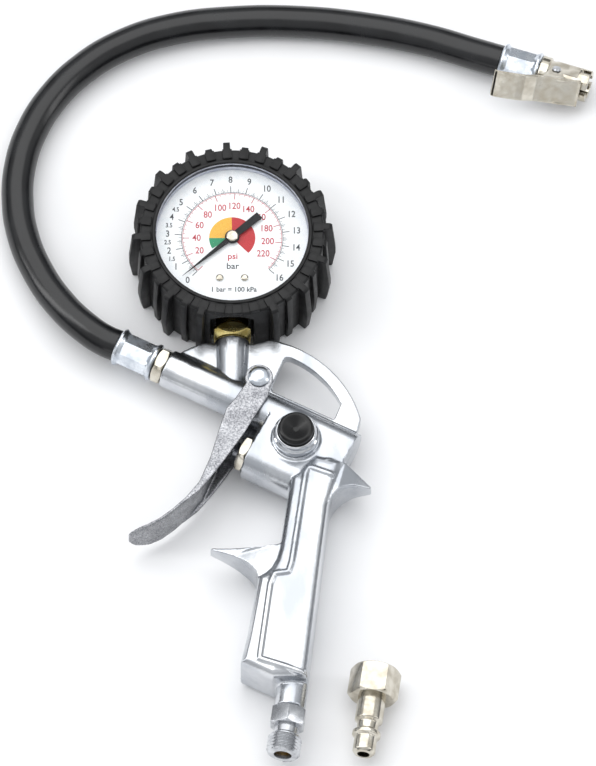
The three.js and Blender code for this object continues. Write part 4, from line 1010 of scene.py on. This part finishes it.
# The three blocks over the socket are only pads, so the tall rank has 15 and the short rank 14.
for name, reach, fall, first, count in (
    ("tall_blocks", TALL_R, TALL_FALL, 18, 15),
    ("short_blocks", SHORT_R, SHORT_FALL, 19, 14),
):
    start = FIRST_BLOCK + first * BLOCK_STEP
    ranked = on_circle(name, GAUGE, tread(name, reach, fall), BOOT, count, start, 2 * BLOCK_STEP)
    boot = joined(boot, ranked)
side = [(31.3, 30), (31.3, FRONT - 0.4), (31.6, FRONT - 0.1), (35.1, FRONT - 0.1), (35.4, FRONT - 0.4),
        (35.4, 30)]
pad = bevelled(slab("pad", IN_MM, side, -PAD_WIDE / 2, PAD_WIDE / 2), 0.3)
boot = joined(boot, on_circle("pads", GAUGE, pad, BOOT, BLOCKS, FIRST_BLOCK, BLOCK_STEP))
fit(boot, BOOT, "gun", "boot_rubber", "rubber_boot")

# Plug: a nickelled quick-connect nipple with a female thread, lying loose beside the grip.
# Its nose has a locking groove and a collar that the coupling's balls run over.
PLUG = placed(55.3, -114.2, 8.5 - GUN_MID_Z, -98.1)
PLUG_FLATS = 17
PLUG_HEX = 12.4
PLUG_WAY_R = 2.4
PLUG_THREAD_R = 6.1
plug = hex_bar("loose_plug_body", PLUG, 0, PLUG_HEX, PLUG_FLATS, 0, 1.2)
nose = [(PLUG_HEX - 1, 0), (PLUG_HEX - 1, 5.4), (22, 5.4), (22.8, 4.15), (26, 4.15), (26.8, 5.5), (28.4, 5.5),
        (28.9, 4.4), (35, 4.4), (36, 3.5), (36, 0)]
combined(plug, turned("nose", PLUG, nose, 72, 0.3), "UNION")
combined(plug, rod("way", PLUG, -1, 41, PLUG_WAY_R, 32), "DIFFERENCE")
socket = [(-1, 0), (-1, 6.5), (0.8, 6), (10.4, 6), (10.4, 0)]
combined(plug, turned("socket", PLUG, socket, 64), "DIFFERENCE")
ridges = screw_thread("plug_thread", PLUG, 1.2, 6.0, PLUG_THREAD_R, PIPE_PITCH, 0.55, NICKEL)
fit(joined(plug, ridges), NICKEL, "loose_plug", "nickel_plate", "quick_plug")

# Floor and lights: a sheet of pale paper on the floor, a large soft light over the gauge end and weaker
# ones at the sides; the sky is pale overhead and grey at the horizon, for the metal to mirror.
WIDE = 3
SKY_STRENGTH = 0.85
corners = [(-WIDE, -WIDE, 0), (WIDE, -WIDE, 0), (WIDE, WIDE, 0), (-WIDE, WIDE, 0)]
floor = mesh_piece("floor", Matrix.Identity(4), corners, [(0, 1, 2, 3)])


def matt_paper():
    """White seamless paper: matt, with a very faint mottle."""
    material, tree = blank("seamless_paper")
    mottle = blotches(tree, 40, 2)
    finish(tree, tint(tree, mottle, "#f4f4f5", "#f8f8f9"), between(tree, mottle, 0.85, 0.95), mottle, 0.02)
    return material


floor.data.materials.append(matt_paper())


def soft_light(name, place, aim, size, power):
    """A rectangle of light at a place, turned towards a point."""
    lamp = bpy.data.lights.new(name, "AREA")
    lamp.shape = "RECTANGLE"
    lamp.size, lamp.size_y = size
    lamp.energy = power
    light = linked(name, lamp)
    light.location = place
    light.rotation_euler = (Vector(aim) - Vector(place)).to_track_quat("-Z", "Y").to_euler()


soft_light("overhead", (-0.2, 0.7, 1.6), (0, 0.3, 0), (2.4, 1.9), 20)
soft_light("left_window", (-1.5, 0.1, 1.0), (0, 0.05, 0), (0.4, 1.4), 7)
soft_light("right_fill", (1.6, -0.1, 0.9), (0, 0.05, 0), (0.4, 1.4), 4)
soft_light("front_card", (-0.5, -2.2, 0.4), (0, 0.05, 0), (2.4, 0.6), 5)
world = bpy.data.worlds.new("studio")
world.use_nodes = True
sky = world.node_tree
sky.nodes.clear()
facing = add(sky, "ShaderNodeTexCoord")
height = add(sky, "ShaderNodeSeparateXYZ", {0: facing.outputs["Generated"]})
shade = add(sky, "ShaderNodeValToRGB", {"Fac": height.outputs["Z"]})
for stop, place, code in zip(shade.color_ramp.elements, (0.1, 0.55), ("#6d7075", "#eef0f2")):
    stop.position = place
    stop.color = linear(code)
glow = add(sky, "ShaderNodeBackground", {"Color": shade.outputs[0], "Strength": SKY_STRENGTH})
add(sky, "ShaderNodeOutputWorld", {"Surface": glow.outputs[0]})
bpy.context.scene.world = world
bpy.context.scene.view_settings.view_transform = "Standard"
